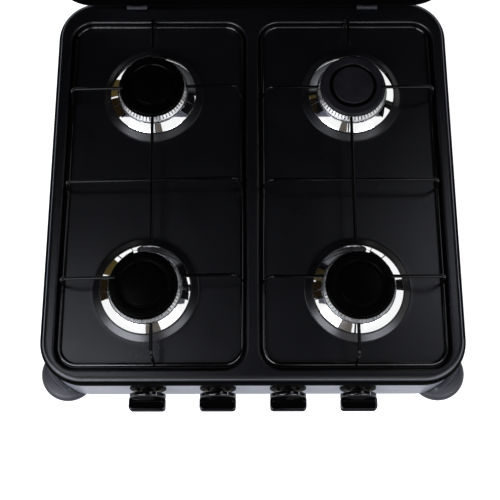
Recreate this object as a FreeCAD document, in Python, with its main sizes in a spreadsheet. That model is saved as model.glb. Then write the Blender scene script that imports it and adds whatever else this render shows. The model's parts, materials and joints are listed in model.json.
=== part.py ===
import FreeCAD, Part
import Sketcher
import math
import os
import re
from FreeCAD import Placement, Rotation, Vector

# Countertop gas stove with four burners, a hinged lid and lift-off pan supports.
# Frame: +X right, +Y to the back, +Z up, the origin on the table under the middle of the stove.

# Driving dimensions, in millimetres and degrees.
sizes = {
    # pressed worktop
    "worktop_width": 500.0,
    "worktop_depth": 496.6,
    "worktop_corner": 52.0,
    "rim_height": 92.0,
    "sheet": 0.8,
    "skirt_height": 18.0,
    "edge_radius": 5.0,
    "well_side_margin": 18.0,
    "well_front_margin": 16.8,
    "well_rear_margin": 32.4,
    "well_corner": 27.0,
    "well_depth": 8.0,
    "well_slope": 20.5,
    "divider_width": 15.0,
    # burner places and their collars in the wells
    "burner_offset": 5.25,
    "burner_end_margin": 97.4,
    "burner_setback": 1.5,
    "collar_foot_radius": 63.0,
    "collar_top_radius": 55.0,
    "collar_height": 5.0,
    "burner_hole_radius": 42.0,
    # burner base: cup, flange and mixing tube
    "cup_radius": 40.0,
    "cup_wall": 3.0,
    "cup_depth": 32.0,
    "neck_height": 5.0,
    "flange_radius": 52.0,
    "flange_thickness": 2.8,
    "tube_radius": 10.0,
    "tube_bore_radius": 8.0,
    "tube_reach": 62.0,
    "tube_height": 10.0,
    "tube_end_wall": 3.0,
    "air_window_length": 12.0,
    "air_window_height": 9.0,
    "air_window_gap": 3.0,
    # burner crown with its flame slots
    "crown_radius": 43.0,
    "crown_top_radius": 40.5,
    "crown_height": 10.0,
    "crown_band": 3.5,
    "crown_bore_radius": 33.0,
    "spigot_depth": 5.0,
    "slot_count": 60.0,
    "slot_width": 1.6,
    "slot_depth": 5.0,
    # burner cap
    "cap_radius": 40.6,
    "cap_height": 9.4,
    "cap_edge": 1.2,
    "cap_edge_height": 5.0,
    "cap_bevel": 2.5,
    "cap_step": 1.4,
    "cap_disc_radius": 26.0,
    "cap_groove_width": 3.0,
    "cap_groove_depth": 1.2,
    "cap_spigot_depth": 3.0,
    # polished ring
    "ring_radius": 53.6,
    "ring_inner_radius": 43.6,
    "ring_rise": 8.6,
    "ring_sheet": 0.8,
    "ring_hem": 3.0,
    # pan supports of welded wire
    "frame_wire_radius": 2.5,
    "arm_wire_radius": 2.0,
    "support_inset": 5.1,
    "arm_height": 30.0,
    "arm_offset": 7.3,
    "arm_bend": 8.0,
    "arm_tip": 39.5,
    "stub_tip": 49.0,
    "weld_sink": 1.0,
    # flared body band and front panel
    "panel_bottom": 14.0,
    "panel_flare": 4.5,
    "panel_slope": 7.0,
    "panel_return": 14.0,
    "panel_split": 58.0,
    # knobs and taps
    "knob_side_margin": 124.4,
    "knob_axis_height": 35.0,
    "knob_radius": 21.7,
    "knob_gap": 8.0,
    "knob_skirt": 5.3,
    "knob_edge": 2.0,
    "knob_dome": 2.3,
    "knob_reach": 27.3,
    "knob_push": 3.0,
    "grip_thickness": 13.0,
    "grip_corner": 4.5,
    "grip_inset": 0.6,
    "grip_border": 3.0,
    "bezel_radius": 21.7,
    "bezel_thickness": 2.0,
    "bezel_hole_radius": 7.0,
    "bezel_screw_spread": 24.6,
    "spindle_radius": 4.0,
    "spindle_reach": 20.0,
    "spindle_collar_radius": 6.5,
    "spindle_collar": 2.0,
    "tongue_width": 8.0,
    "tongue_thickness": 2.0,
    "tongue_length": 7.7,
    "tap_radius": 10.0,
    "tap_length": 50.0,
    "tap_flange_width": 36.0,
    "tap_flange_height": 16.0,
    "tap_flange_thickness": 3.0,
    "tap_guide": 7.2,
    "tap_chamber": 8.0,
    "tap_chamber_radius": 7.2,
    "plug_radius": 6.6,
    "plug_tip_radius": 5.0,
    "plug_length": 17.5,
    "plug_slot_depth": 6.0,
    "outlet_place": 22.0,
    "outlet_radius": 6.0,
    "outlet_height": 15.0,
    # gas pipes
    "rail_radius": 8.0,
    "pipe_wall": 1.2,
    "rail_overhang": 20.0,
    "supply_margin": 45.0,
    "supply_bend": 24.0,
    "feed_radius": 4.0,
    "feed_bend": 10.0,
    "feed_turn_share": 0.6,
    "feed_turn_run": 65.0,
    "injector_radius": 3.5,
    "injector_nut_radius": 5.5,
    "injector_nut_length": 7.5,
    "injector_nose": 2.0,
    "inlet_radius": 10.48,
    "inlet_length": 22.0,
    "inlet_nut_radius": 14.0,
    "inlet_nut_length": 10.0,
    "inlet_bore_radius": 7.0,
    "inlet_hole_radius": 13.0,
    # feet
    "foot_place_x": 20.0,
    "foot_place_y": 22.0,
    "foot_radius": 34.0,
    "foot_base_radius": 30.0,
    "foot_belt_low": 5.0,
    "foot_belt_high": 10.0,
    "foot_shoulder_radius": 30.0,
    "foot_shoulder": 14.0,
    "foot_shelf_radius": 20.0,
    "foot_shelf": 17.0,
    "foot_lip": 3.5,
    "foot_lip_radius": 32.5,
    "foot_height": 27.0,
    # lid and its hinges
    "lid_side_margin": 10.0,
    "lid_end_margin": 8.0,
    "lid_corner": 34.0,
    "lid_height": 38.0,
    "lid_edge": 6.0,
    "lid_field_inset": 45.0,
    "lid_field_rise": 3.0,
    "lid_field_slope": 45.0,
    "lid_angle": 96.0,
    "lid_gap": 0.5,
    "lid_rear_gap": 3.8,
    "hinge_side_margin": 101.0,
    "hinge_width": 26.0,
    "hinge_knuckle": 12.0,
    "hinge_height": 2.8,
    "hinge_inset": 12.5,
    "hinge_barrel_radius": 2.5,
    "hinge_pin_radius": 1.25,
    "hinge_leaf": 1.2,
    "hinge_leaf_height": 16.0,
    # screws
    "bezel_screw_radius": 2.0,
    "bezel_screw_length": 7.0,
    "burner_screw_radius": 2.0,
    "burner_screw_length": 7.0,
    "burner_screw_place": 47.0,
    "foot_screw_radius": 2.4,
    "foot_screw_length": 14.0,
    "foot_screw_recess": 6.0,
    "hinge_screw_radius": 1.5,
    "hinge_screw_length": 5.0,
    "hinge_screw_spread": 16.0,
    "head_ratio": 1.6,
    "head_height_ratio": 1.0,
    # clearances
    "running_clearance": 0.05,
    "guide_clearance": 0.1,
    "loose_clearance": 0.3,
    "screw_clearance": 0.1,
}

# Levels and places worked out from the driving dimensions, as formulas of a second sheet.
places = {
    "skirt_z": "rim_height - skirt_height",
    "floor_z": "rim_height - well_depth",
    "collar_z": "rim_height - well_depth + collar_height",
    "band_top_z": "rim_height - sheet",
    "flare_rate": "tan(panel_slope)",
    "neck_z": "collar_z + neck_height",
    "crown_z": "neck_z + crown_height",
    "cup_z": "neck_z - cup_depth",
    "cup_bore_radius": "cup_radius - cup_wall",
    "tube_z": "cup_z + tube_height",
    "well_width": "worktop_width / 2 - well_side_margin - divider_width / 2",
    "well_length": "worktop_depth - well_front_margin - well_rear_margin",
    "well_y": "(well_front_margin - well_rear_margin) / 2",
    "well_centre": "(divider_width + well_width) / 2",
    "burner_x": "well_centre + burner_offset",
    "burner_pitch": "well_length - 2 * burner_end_margin",
    "arm_spread": "burner_pitch - 2 * arm_offset",
    "outer_knob_x": "worktop_width / 2 - knob_side_margin",
    "knob_pitch": "outer_knob_x * 2 / 3",
    "supply_place": "worktop_width / 2 - supply_margin",
    "hinge_place": "worktop_width / 2 - hinge_side_margin",
    "lid_width": "worktop_width - 2 * lid_side_margin",
    "lid_depth": "worktop_depth - hinge_inset - hinge_barrel_radius - lid_end_margin",
    "arm_z": "rim_height + arm_height",
    "frame_z": "floor_z + loose_clearance + frame_wire_radius",
    "knob_z": "panel_bottom + knob_axis_height",
    "panel_face": "worktop_depth / 2 + panel_flare - knob_axis_height * flare_rate",
    "hinge_z": "rim_height + hinge_height",
    "hinge_back": "worktop_depth / 2 - hinge_inset",
    "lid_rim": "lid_gap - hinge_height",
    "front_reach": "panel_face + knob_reach * cos(panel_slope) + grip_thickness / 2 * sin(panel_slope)",
    "lid_lean": "(lid_depth + hinge_barrel_radius) * -cos(lid_angle)",
    "lid_back": "lid_lean + (lid_rim + lid_height) * sin(lid_angle)",
    "rear_reach": "hinge_back + lid_back",
    "centre_y": "(front_reach - rear_reach) / 2",
    "rail_y": "centre_y - panel_face + tap_length * cos(panel_slope)",
    "rail_z": "knob_z - tap_length * sin(panel_slope)",
    "inlet_level": "rail_z + inlet_nut_radius - panel_bottom",
    "rear_wall": "centre_y + worktop_depth / 2 + panel_flare - inlet_level * flare_rate",
    "inlet_y": "rear_wall - sheet - loose_clearance",
}

burners = [
    ("front_left", "-", "-"),
    ("front_right", "+", "-"),
    ("rear_left", "-", "+"),
    ("rear_right", "+", "+"),
]
knob_columns = ["-1.5", "-0.5", "0.5", "1.5"]

doc = FreeCAD.newDocument("CountertopGasStove")
sub_parts = []


def fill_sheet(name, cells, prefix):
    sheet = doc.addObject("Spreadsheet::Sheet", name)
    for row, (alias, content) in enumerate(cells.items(), 1):
        sheet.set("A%d" % row, alias)
        sheet.set("B%d" % row, prefix + cell(str(content)))
        sheet.setAlias("B%d" % row, alias)
    doc.recompute()
    return sheet


def cell(expression):
    # every named size in an expression is read from its sheet
    def owner(match):
        word = match.group()
        if word in sizes:
            return "Sizes." + word
        if word in places:
            return "Places." + word
        return word

    return re.sub(r"[a-z][a-z_0-9]*", owner, expression)


def value(expression):
    return float(dimension_sheet.evalExpression(cell(expression)))


def point(x, y, z):
    return Vector(value(x), value(y), value(z))


def new_body(label, x="0", y="0", z="0", angle=None):
    # a body at a place that follows the sheets, turned about X by an angle where one is given
    body = doc.addObject("PartDesign::Body", label)
    body.Label = label
    sub_parts.append(body)
    if angle:
        body.Placement = Placement(Vector(), Rotation(Vector(1, 0, 0), value(angle)))
        body.setExpression("Placement.Rotation.Angle", cell(angle))
    for axis, expression in (("x", x), ("y", y), ("z", z)):
        body.setExpression("Placement.Base." + axis, cell(expression))
    return body


def new_shape(label, shape):
    # a sub-part made of Part shapes in its final place
    feature = doc.addObject("Part::Feature", label)
    feature.Label = label
    feature.Shape = shape
    sub_parts.append(feature)
    return feature


def new_sketch(body, role, offset="0"):
    sketch = body.newObject("Sketcher::SketchObject", "sketch")
    support = [plane for plane in body.Origin.OriginFeatures if plane.Role == role]
    sketch.AttachmentSupport = [(support[0], "")]
    sketch.MapMode = "FlatFace"
    sketch.setExpression("AttachmentOffset.Base.z", cell(offset))
    return sketch


def bind(sketch, constraint, expression):
    row = sketch.addConstraint(constraint)
    sketch.setExpression("Constraints[%d]" % row, cell(expression))


def pin(sketch, geometry, end, x, y):
    # both coordinates of a sketch point follow the sheets
    for kind, expression in (("DistanceX", x), ("DistanceY", y)):
        bind(sketch, Sketcher.Constraint(kind, -1, 1, geometry, end, value(expression)), expression)


def draw(sketch, points, closed=True):
    # lines between points; a point (x, y, radius, side) starts an arc, its centre left (1) or right (-1)
    first = sketch.GeometryCount
    count = len(points)
    spans = count if closed else count - 1
    ends = []
    for index in range(spans):
        here = points[index]
        there = points[(index + 1) % count]
        start = point(here[0], here[1], "0")
        stop = point(there[0], there[1], "0")
        if len(here) == 2:
            sketch.addGeometry(Part.LineSegment(start, stop))
            ends.append((1, 2))
            continue
        radius = value(here[2])
        chord = stop - start
        rise = math.sqrt(max(radius**2 - chord.Length**2 / 4, 0))
        centre = (start + stop) * 0.5 + Vector(-chord.y, chord.x, 0).normalize() * rise * here[3]
        turn = [math.atan2(end.y - centre.y, end.x - centre.x) for end in (start, stop)]
        circle = Part.Circle(centre, Vector(0, 0, 1), radius)
        sketch.addGeometry(Part.ArcOfCircle(circle, *turn[:: here[3]]))
        ends.append((1, 2)[:: here[3]])
        bind(sketch, Sketcher.Constraint("Radius", first + index, radius), here[2])
    for index in range(spans):
        pin(sketch, first + index, ends[index][0], points[index][0], points[index][1])
        follower = (index + 1) % spans
        if closed or follower:
            joint = (first + index, ends[index][1], first + follower, ends[follower][0])
            sketch.addConstraint(Sketcher.Constraint("Coincident", *joint))
    if not closed:
        pin(sketch, first + spans - 1, ends[-1][1], points[-1][0], points[-1][1])


def ring(sketch, x, y, radius):
    geometry = sketch.addGeometry(Part.Circle(point(x, y, "0"), Vector(0, 0, 1), value(radius)))
    pin(sketch, geometry, 3, x, y)
    bind(sketch, Sketcher.Constraint("Radius", geometry, value(radius)), radius)


def box(x0, x1, y0, y1):
    return [(x0, y0), (x1, y0), (x1, y1), (x0, y1)]


def rounded_box(x, y, width, depth, corner):
    left = "(%s) - (%s) / 2" % (x, width)
    right = "(%s) + (%s) / 2" % (x, width)
    front = "(%s) - (%s) / 2" % (y, depth)
    back = "(%s) + (%s) / 2" % (y, depth)
    near_left, near_right = left + " + " + corner, right + " - (%s)" % corner
    near_front, near_back = front + " + " + corner, back + " - (%s)" % corner
    return [
        (near_left, front),
        (near_right, front, corner, 1),
        (right, near_front),
        (right, near_back, corner, 1),
        (near_right, back),
        (near_left, back, corner, 1),
        (left, near_back),
        (left, near_front, corner, 1),
    ]


def extrude(body, kind, sketch, length, taper=None, midplane=False, reverse=False):
    before = body.Shape.Volume if body.Tip else 0.0
    feature = body.newObject("PartDesign::" + kind, kind)
    feature.Profile = sketch
    feature.SideType = "Symmetric" if midplane else "One side"
    feature.Reversed = reverse
    feature.setExpression("Length", cell(length))
    if taper:
        feature.setExpression("TaperAngle", cell(taper))
    doc.recompute()
    changed = body.Shape.Volume - before
    if (changed > 0) != (kind == "Pad"):
        raise ValueError("%s of %s changes nothing" % (kind, body.Label))
    return feature


def pad(body, sketch, length, **how):
    return extrude(body, "Pad", sketch, length, **how)


def pocket(body, sketch, length, **how):
    return extrude(body, "Pocket", sketch, length, **how)


def turn(body, points, kind="Revolution"):
    # a profile of (radius, height) points turned about the body's own Z axis
    sketch = new_sketch(body, "XZ_Plane")
    draw(sketch, points)
    feature = body.newObject("PartDesign::" + kind, kind)
    feature.Profile = sketch
    feature.ReferenceAxis = (sketch, ["V_Axis"])
    feature.Angle = 360
    doc.recompute()
    return feature


def loft(body, kind, sketches):
    feature = body.newObject("PartDesign::" + kind, kind)
    feature.Profile = sketches[0]
    feature.Sections = sketches[1:]
    feature.Ruled = True
    doc.recompute()
    return feature


def finish_edges(body, kind, size_name, size, wanted):
    # fillet or chamfer the edges of the body that the test picks out
    tip = body.Tip
    names = ["Edge%d" % row for row, edge in enumerate(tip.Shape.Edges, 1) if wanted(edge.BoundBox)]
    feature = body.newObject("PartDesign::" + kind, kind)
    feature.Base = (tip, names)
    feature.setExpression(size_name, cell(size))
    doc.recompute()
    return feature


def shell(body, wanted):
    # a sheet of even thickness under the outer form, open at the faces that the test picks out
    tip = body.Tip
    names = ["Face%d" % row for row, face in enumerate(tip.Shape.Faces, 1) if wanted(face.BoundBox)]
    feature = body.newObject("PartDesign::Thickness", "Thickness")
    feature.Base = (tip, names)
    feature.setExpression("Value", cell("sheet"))
    feature.Reversed = True
    doc.recompute()
    return feature


def near(level, size="0"):
    return abs(level - value(size)) < 1e-6


def burner_place(across, along):
    return "0 %s burner_x" % across, "centre_y + well_y - burner_setback %s burner_pitch / 2" % along


def make_worktop():
    body = new_body("worktop", "0", "centre_y", "skirt_z")
    outline = new_sketch(body, "XY_Plane")
    draw(outline, rounded_box("0", "0", "worktop_width", "worktop_depth", "worktop_corner"))
    pad(body, outline, "skirt_height")
    finish_edges(body, "Fillet", "Radius", "edge_radius", lambda edge: near(edge.ZMin, "skirt_height"))
    wells = new_sketch(body, "XY_Plane", "skirt_height")
    for across in ("-", "+"):
        place = ("0 %s well_centre" % across, "well_y")
        draw(wells, rounded_box(*place, "well_width", "well_length", "well_corner"))
    pocket(body, wells, "well_depth", taper="-well_slope")
    collars = new_sketch(body, "XY_Plane", "skirt_height - well_depth")
    holes = new_sketch(body, "XY_Plane", "skirt_height")
    for _, across, along in burners:
        x = "0 %s burner_x" % across
        y = "well_y - burner_setback %s burner_pitch / 2" % along
        ring(collars, x, y, "collar_foot_radius")
        ring(holes, x, y, "burner_hole_radius")
        for side in ("-", "+"):
            ring(holes, "%s %s burner_screw_place" % (x, side), y, "burner_screw_radius + screw_clearance")
    lean = "-atan((collar_foot_radius - collar_top_radius) / collar_height)"
    pad(body, collars, "collar_height", taper=lean)
    shell(body, lambda face: near(face.ZMax))
    pocket(body, holes, "skirt_height")
    hinge_holes = new_sketch(body, "XZ_Plane", "-worktop_depth / 2")
    for place in hinge_screw_places():
        ring(hinge_holes, place, "skirt_height / 2", "hinge_screw_radius + screw_clearance")
    pocket(body, hinge_holes, "sheet * 2", reverse=True)


def hinge_screw_places():
    pairs = [(side, part) for side in ("-", "+") for part in ("-", "+")]
    return ["0 %s hinge_place %s hinge_screw_spread / 2" % pair for pair in pairs]


def band_outline(level, grow, x="0", y="0"):
    # the flared body's outline at a height, grown outwards by a distance
    offset = "(panel_flare - ((%s) - panel_bottom) * flare_rate + (%s))" % (level, grow)
    width = "worktop_width + 2 * %s" % offset
    depth = "worktop_depth + 2 * %s" % offset
    corner = "(worktop_corner + %s)" % offset
    return rounded_box(x, y, width, depth, corner)


def make_band(label, keep_front):
    # flared sheet wall with an inward return along its foot, split behind the front corners
    body = new_body(label, "0", "centre_y", "0")
    levels = ("panel_bottom", "band_top_z")
    outer = [new_sketch(body, "XY_Plane", level) for level in levels]
    for sketch, level in zip(outer, levels):
        draw(sketch, band_outline(level, "0"))
    loft(body, "AdditiveLoft", outer)
    inner_levels = ("panel_bottom + sheet", "band_top_z")
    inner = [new_sketch(body, "XY_Plane", level) for level in inner_levels]
    for sketch, level in zip(inner, inner_levels):
        draw(sketch, band_outline(level, "-sheet"))
    loft(body, "SubtractiveLoft", inner)
    opening = new_sketch(body, "XY_Plane", "panel_bottom + sheet")
    draw(opening, band_outline("panel_bottom", "-panel_return"))
    pocket(body, opening, "sheet")
    split = "0 - worktop_depth / 2 + panel_split"
    front_edge = "0 - worktop_depth"
    back_edge = "0 + worktop_depth"
    cut = new_sketch(body, "XY_Plane", "rim_height")
    kept = (split, back_edge) if keep_front else (front_edge, split)
    draw(cut, box("0 - worktop_width", "0 + worktop_width", *kept))
    pocket(body, cut, "rim_height")
    foot_holes = new_sketch(body, "XY_Plane", "panel_bottom + sheet")
    along = "-" if keep_front else "+"
    for across in ("-", "+"):
        x, y = foot_place(across, along)
        ring(foot_holes, x, y, "foot_screw_radius + screw_clearance")
    pocket(body, foot_holes, "sheet")
    return body


def make_front_panel():
    body = make_band("front_panel", True)
    holes = new_sketch(body, "XZ_Plane", "panel_face")
    tilt = Rotation(Vector(1, 0, 0), -value("panel_slope"))
    holes.AttachmentOffset = Placement(Vector(0, value("knob_z"), value("panel_face")), tilt)
    holes.setExpression("AttachmentOffset.Base.y", cell("knob_z"))
    for column in knob_columns:
        x = column + " * knob_pitch"
        ring(holes, x, "0", "bezel_hole_radius")
        for side in ("-", "+"):
            place = "%s %s bezel_screw_spread / 2" % (x, side)
            ring(holes, place, "0", "bezel_screw_radius + screw_clearance")
    pocket(body, holes, "sheet * 4", midplane=True)


def make_body_shell():
    body = make_band("body_shell", False)
    hole = new_sketch(body, "XZ_Plane", "-worktop_depth / 2 - panel_flare")
    ring(hole, "supply_place", "rail_z", "inlet_hole_radius")
    pocket(body, hole, "panel_flare * 4", reverse=True)


def make_burner(name, across, along):
    x, y = burner_place(across, along)

    # cast cup with its flange under the collar, and the mixing tube towards the front
    base = new_body("burner_base_" + name, x, y, "cup_z")
    seat = "(collar_z - sheet - cup_z)"
    flange = "(%s - flange_thickness)" % seat
    cup = [
        ("0", "0"),
        ("cup_radius", "0"),
        ("cup_radius", flange),
        ("flange_radius", flange),
        ("flange_radius", seat),
        ("cup_radius", seat),
        ("cup_radius", "cup_depth"),
        ("cup_bore_radius", "cup_depth"),
        ("cup_bore_radius", "cup_wall"),
        ("0", "cup_wall"),
    ]
    turn(base, cup)
    shift = tube_shift(across, along)
    tube = new_sketch(base, "XZ_Plane", "cup_bore_radius + cup_wall / 2 - cup_wall")
    ring(tube, shift, "tube_height", "tube_radius")
    pad(base, tube, "tube_reach - cup_bore_radius + cup_wall / 2")
    bore = new_sketch(base, "XZ_Plane", "tube_reach - tube_end_wall")
    ring(bore, shift, "tube_height", "tube_bore_radius")
    pocket(base, bore, "tube_reach")
    nozzle = new_sketch(base, "XZ_Plane", "tube_reach")
    ring(nozzle, shift, "tube_height", "injector_radius + screw_clearance")
    pocket(base, nozzle, "tube_end_wall * 1.5")
    windows = new_sketch(base, "YZ_Plane", shift)
    window_back = "0 - tube_reach + tube_end_wall + air_window_gap"
    low = "tube_height - air_window_height / 2"
    high = "tube_height + air_window_height / 2"
    draw(windows, box(window_back, window_back + " + air_window_length", low, high))
    pocket(base, windows, "tube_radius * 3", midplane=True)
    screw_holes = new_sketch(base, "XY_Plane", seat)
    for side in ("-", "+"):
        ring(screw_holes, "0 %s burner_screw_place" % side, "0", "burner_screw_radius + screw_clearance")
    pocket(base, screw_holes, "flange_thickness * 2")

    # crown: a tapered ring whose upper edge is slotted all round for the flames
    crown = new_body("burner_crown_" + name, x, y, "neck_z")
    spigot = "cup_bore_radius - loose_clearance"
    wall = [
        ("crown_bore_radius", "0 - spigot_depth"),
        (spigot, "0 - spigot_depth"),
        (spigot, "0"),
        ("crown_radius", "0"),
        ("crown_radius", "crown_band"),
        ("crown_top_radius", "crown_height"),
        ("crown_bore_radius", "crown_height"),
    ]
    turn(crown, wall)
    slot = new_sketch(crown, "XY_Plane", "crown_height")
    half_slot = "slot_width / 2"
    slot_start = "crown_bore_radius - slot_width"
    draw(slot, box(slot_start, "crown_radius + slot_width", "0 - " + half_slot, half_slot))
    cut = pocket(crown, slot, "slot_depth")
    slots = crown.newObject("PartDesign::PolarPattern", "PolarPattern")
    slots.Originals = [cut]
    slots.Axis = (slot, ["N_Axis"])
    slots.Angle = 360
    slots.setExpression("Occurrences", cell("slot_count"))
    crown.Tip = slots
    doc.recompute()

    # cap: bevelled rim, a groove and a raised disc, centred by its spigot in the crown
    cap = new_body("burner_cap_" + name, x, y, "crown_z")
    cap_spigot = "crown_bore_radius - loose_clearance"
    rim_top = "cap_height - cap_step"
    groove_outer = "cap_disc_radius + cap_groove_width"
    profile = [
        ("0", "0 - cap_spigot_depth"),
        (cap_spigot, "0 - cap_spigot_depth"),
        (cap_spigot, "0"),
        ("cap_radius - cap_bevel", "0"),
        ("cap_radius", "cap_edge_height - cap_edge"),
        ("cap_radius", "cap_edge_height"),
        ("cap_radius - cap_bevel", rim_top),
        (groove_outer + " + cap_groove_depth", rim_top),
        (groove_outer, rim_top + " - cap_groove_depth"),
        ("cap_disc_radius + cap_groove_depth", rim_top + " - cap_groove_depth"),
        ("cap_disc_radius", "cap_height"),
        ("0", "cap_height"),
    ]
    turn(cap, profile)

    # polished conical ring with a hemmed foot that rests on the collar
    trim = new_body("burner_ring_" + name, x, y, "collar_z")
    cone = [
        ("ring_radius - ring_hem", "0"),
        ("ring_radius", "0"),
        ("ring_radius", "ring_sheet"),
        ("ring_inner_radius + ring_sheet / 2", "ring_rise"),
        ("ring_inner_radius", "ring_rise - ring_sheet / 2"),
        ("ring_radius - ring_sheet", "ring_sheet"),
        ("ring_radius - ring_hem", "ring_sheet"),
    ]
    turn(trim, cone)


def tube_shift(across, along):
    # the front mixing tubes line up with the outer taps, the rear ones with their burners
    return "0 %s (outer_knob_x - burner_x)" % across if along == "-" else "0"


def wire(body, path_plane, path, start_plane, start, radius, closed=False, kind="AdditivePipe"):
    # a bent round wire swept along a sketched path from a circle across its start; planes are (role, offset)
    spine = new_sketch(body, *path_plane)
    draw(spine, path, closed)
    section = new_sketch(body, *start_plane)
    ring(section, start[0], start[1], radius)
    feature = body.newObject("PartDesign::" + kind, kind)
    feature.Profile = section
    feature.Spine = (spine, [])
    doc.recompute()
    return feature


def bent_arm(foot, tip, inward, bend_side, level):
    # leg up from the frame wire, a bend, and the arm towards the burner
    lift = "(%s)" % level
    bend_out = "%s %s arm_bend" % (foot, inward)
    return [
        (foot, "0"),
        (foot, lift + " - arm_bend", "arm_bend", bend_side),
        (bend_out, lift),
        (tip, lift),
    ]


def make_pan_support(name, across):
    # welded wire grid that lies in one well; local origin at the well's centre, on the frame wire's axis
    body = new_body("pan_support_" + name, "0 %s well_centre" % across, "centre_y + well_y", "frame_z")
    width = "well_width - 2 * support_inset"
    length = "well_length - 2 * support_inset"
    corner = "(well_corner - support_inset)"
    outline = rounded_box("0", "0", width, length, corner)
    start = ("0 - (%s) / 2" % length, "0")
    ground = ("XY_Plane", "0")
    middle_plane = ("YZ_Plane", "0")
    wire(body, ground, outline, middle_plane, start, "frame_wire_radius", True)

    top = "arm_z - frame_z"
    half_width = "(%s) / 2" % width
    half_length = "(%s) / 2" % length
    for along in ("-", "+"):
        plane = "0 - (0 - burner_setback %s arm_spread / 2)" % along
        row = "0 - burner_setback %s arm_spread / 2" % along
        left = bent_arm("0 - " + half_width, "0 - arm_tip", "+", -1, top)
        right = bent_arm(half_width, "arm_tip", "-", 1, top)
        for path in (left, right):
            wire(body, ("XZ_Plane", plane), path, ground, (path[0][0], row), "arm_wire_radius")
        burner_row = "(0 - burner_setback %s burner_pitch / 2)" % along
        inward, bend_side = ("+", -1) if along == "-" else ("-", 1)
        stub_foot = "0 %s %s" % (along, half_length)
        stub = bent_arm(stub_foot, "%s %s stub_tip" % (burner_row, along), inward, bend_side, top)
        wire(body, middle_plane, stub, ground, ("0", stub_foot), "arm_wire_radius")

    # the cross wire over the middle carries the long wire on its back
    low = "%s - 2 * arm_wire_radius + weld_sink" % top
    left = bent_arm("0 - " + half_width, "0", "+", -1, low)
    right = bent_arm(half_width, "0", "-", 1, low)
    middle = left[:3] + [(right[2][0], right[2][1], "arm_bend", -1), right[1][:2], right[0]]
    cross_plane = ("XZ_Plane", "burner_setback")
    wire(body, cross_plane, middle, ground, (left[0][0], "0 - burner_setback"), "arm_wire_radius")
    long_wire = new_sketch(body, *cross_plane)
    ring(long_wire, "0", top, "arm_wire_radius")
    pad(body, long_wire, "burner_pitch - 2 * stub_tip", midplane=True)


def knob_place(column):
    return column + " * knob_pitch", "centre_y - panel_face", "knob_z", "90 - panel_slope"


def make_tap(number, column):
    place = knob_place(column)
    guide = "spindle_radius + guide_clearance"
    guide_end = "0 - sheet - tap_guide"
    chamber_end = "0 - sheet - tap_guide - tap_chamber"
    seat_end = "(%s) - plug_length - loose_clearance * 2" % chamber_end

    # brass tap body: barrel, fixing flange behind the panel, outlet boss and a saddle on the gas rail
    tap = new_body("tap_body_%d" % number, *place)
    barrel = [
        ("0", "0 - tap_length"),
        ("tap_radius", "0 - tap_length"),
        ("tap_radius", "0 - sheet"),
        ("0", "0 - sheet"),
    ]
    turn(tap, barrel)
    flange = new_sketch(tap, "XY_Plane", "0 - sheet")
    draw(flange, rounded_box("0", "0", "tap_flange_width", "tap_flange_height", "tap_flange_thickness"))
    pad(tap, flange, "tap_flange_thickness", reverse=True)
    outlet = new_sketch(tap, "XZ_Plane")
    ring(outlet, "0", "0 - outlet_place", "outlet_radius")
    pad(tap, outlet, "outlet_height", reverse=True)
    cavity = [
        ("0", "0"),
        (guide, "0"),
        (guide, guide_end),
        ("tap_chamber_radius", guide_end),
        ("tap_chamber_radius", chamber_end),
        ("plug_radius + running_clearance", chamber_end),
        ("plug_tip_radius + running_clearance", seat_end),
        ("0", seat_end),
    ]
    turn(tap, cavity, "Groove")
    rail = new_sketch(tap, "YZ_Plane")
    ring(rail, "0", "0 - tap_length", "rail_radius + screw_clearance")
    pocket(tap, rail, "tap_radius * 3", midplane=True)
    screw_holes = new_sketch(tap, "XY_Plane")
    for side in ("-", "+"):
        ring(screw_holes, "0 %s bezel_screw_spread / 2" % side, "0", "bezel_screw_radius + screw_clearance")
    pocket(tap, screw_holes, "sheet + tap_flange_thickness * 2")

    # taper plug with the slot that the spindle's tongue turns
    plug = new_body("tap_plug_%d" % number, *place)
    plug_end = "(%s) - plug_length" % chamber_end
    taper = [
        ("0", plug_end),
        ("plug_tip_radius", plug_end),
        ("plug_radius", chamber_end),
        ("0", chamber_end),
    ]
    turn(plug, taper)
    slot = new_sketch(plug, "XZ_Plane")
    half_slot = "(tongue_thickness / 2 + guide_clearance)"
    draw(slot, box("0 - " + half_slot, half_slot, "(%s) - plug_slot_depth" % chamber_end, chamber_end))
    pocket(plug, slot, "plug_radius * 3", midplane=True)

    # spindle: shaft, retaining collar and tongue
    spindle = new_body("tap_spindle_%d" % number, *place)
    collar_top = "(%s) - loose_clearance" % guide_end
    collar_low = "(%s) - spindle_collar" % collar_top
    shaft = [
        ("0", collar_low),
        ("spindle_collar_radius", collar_low),
        ("spindle_collar_radius", collar_top),
        ("spindle_radius", collar_top),
        ("spindle_radius", "spindle_reach"),
        ("0", "spindle_reach"),
    ]
    turn(spindle, shaft)
    tongue = new_sketch(spindle, "XY_Plane", collar_low)
    half_thick, half_wide = "tongue_thickness / 2", "tongue_width / 2"
    draw(tongue, box("0 - " + half_thick, half_thick, "0 - " + half_wide, half_wide))
    pad(spindle, tongue, "tongue_length", reverse=True)


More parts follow.
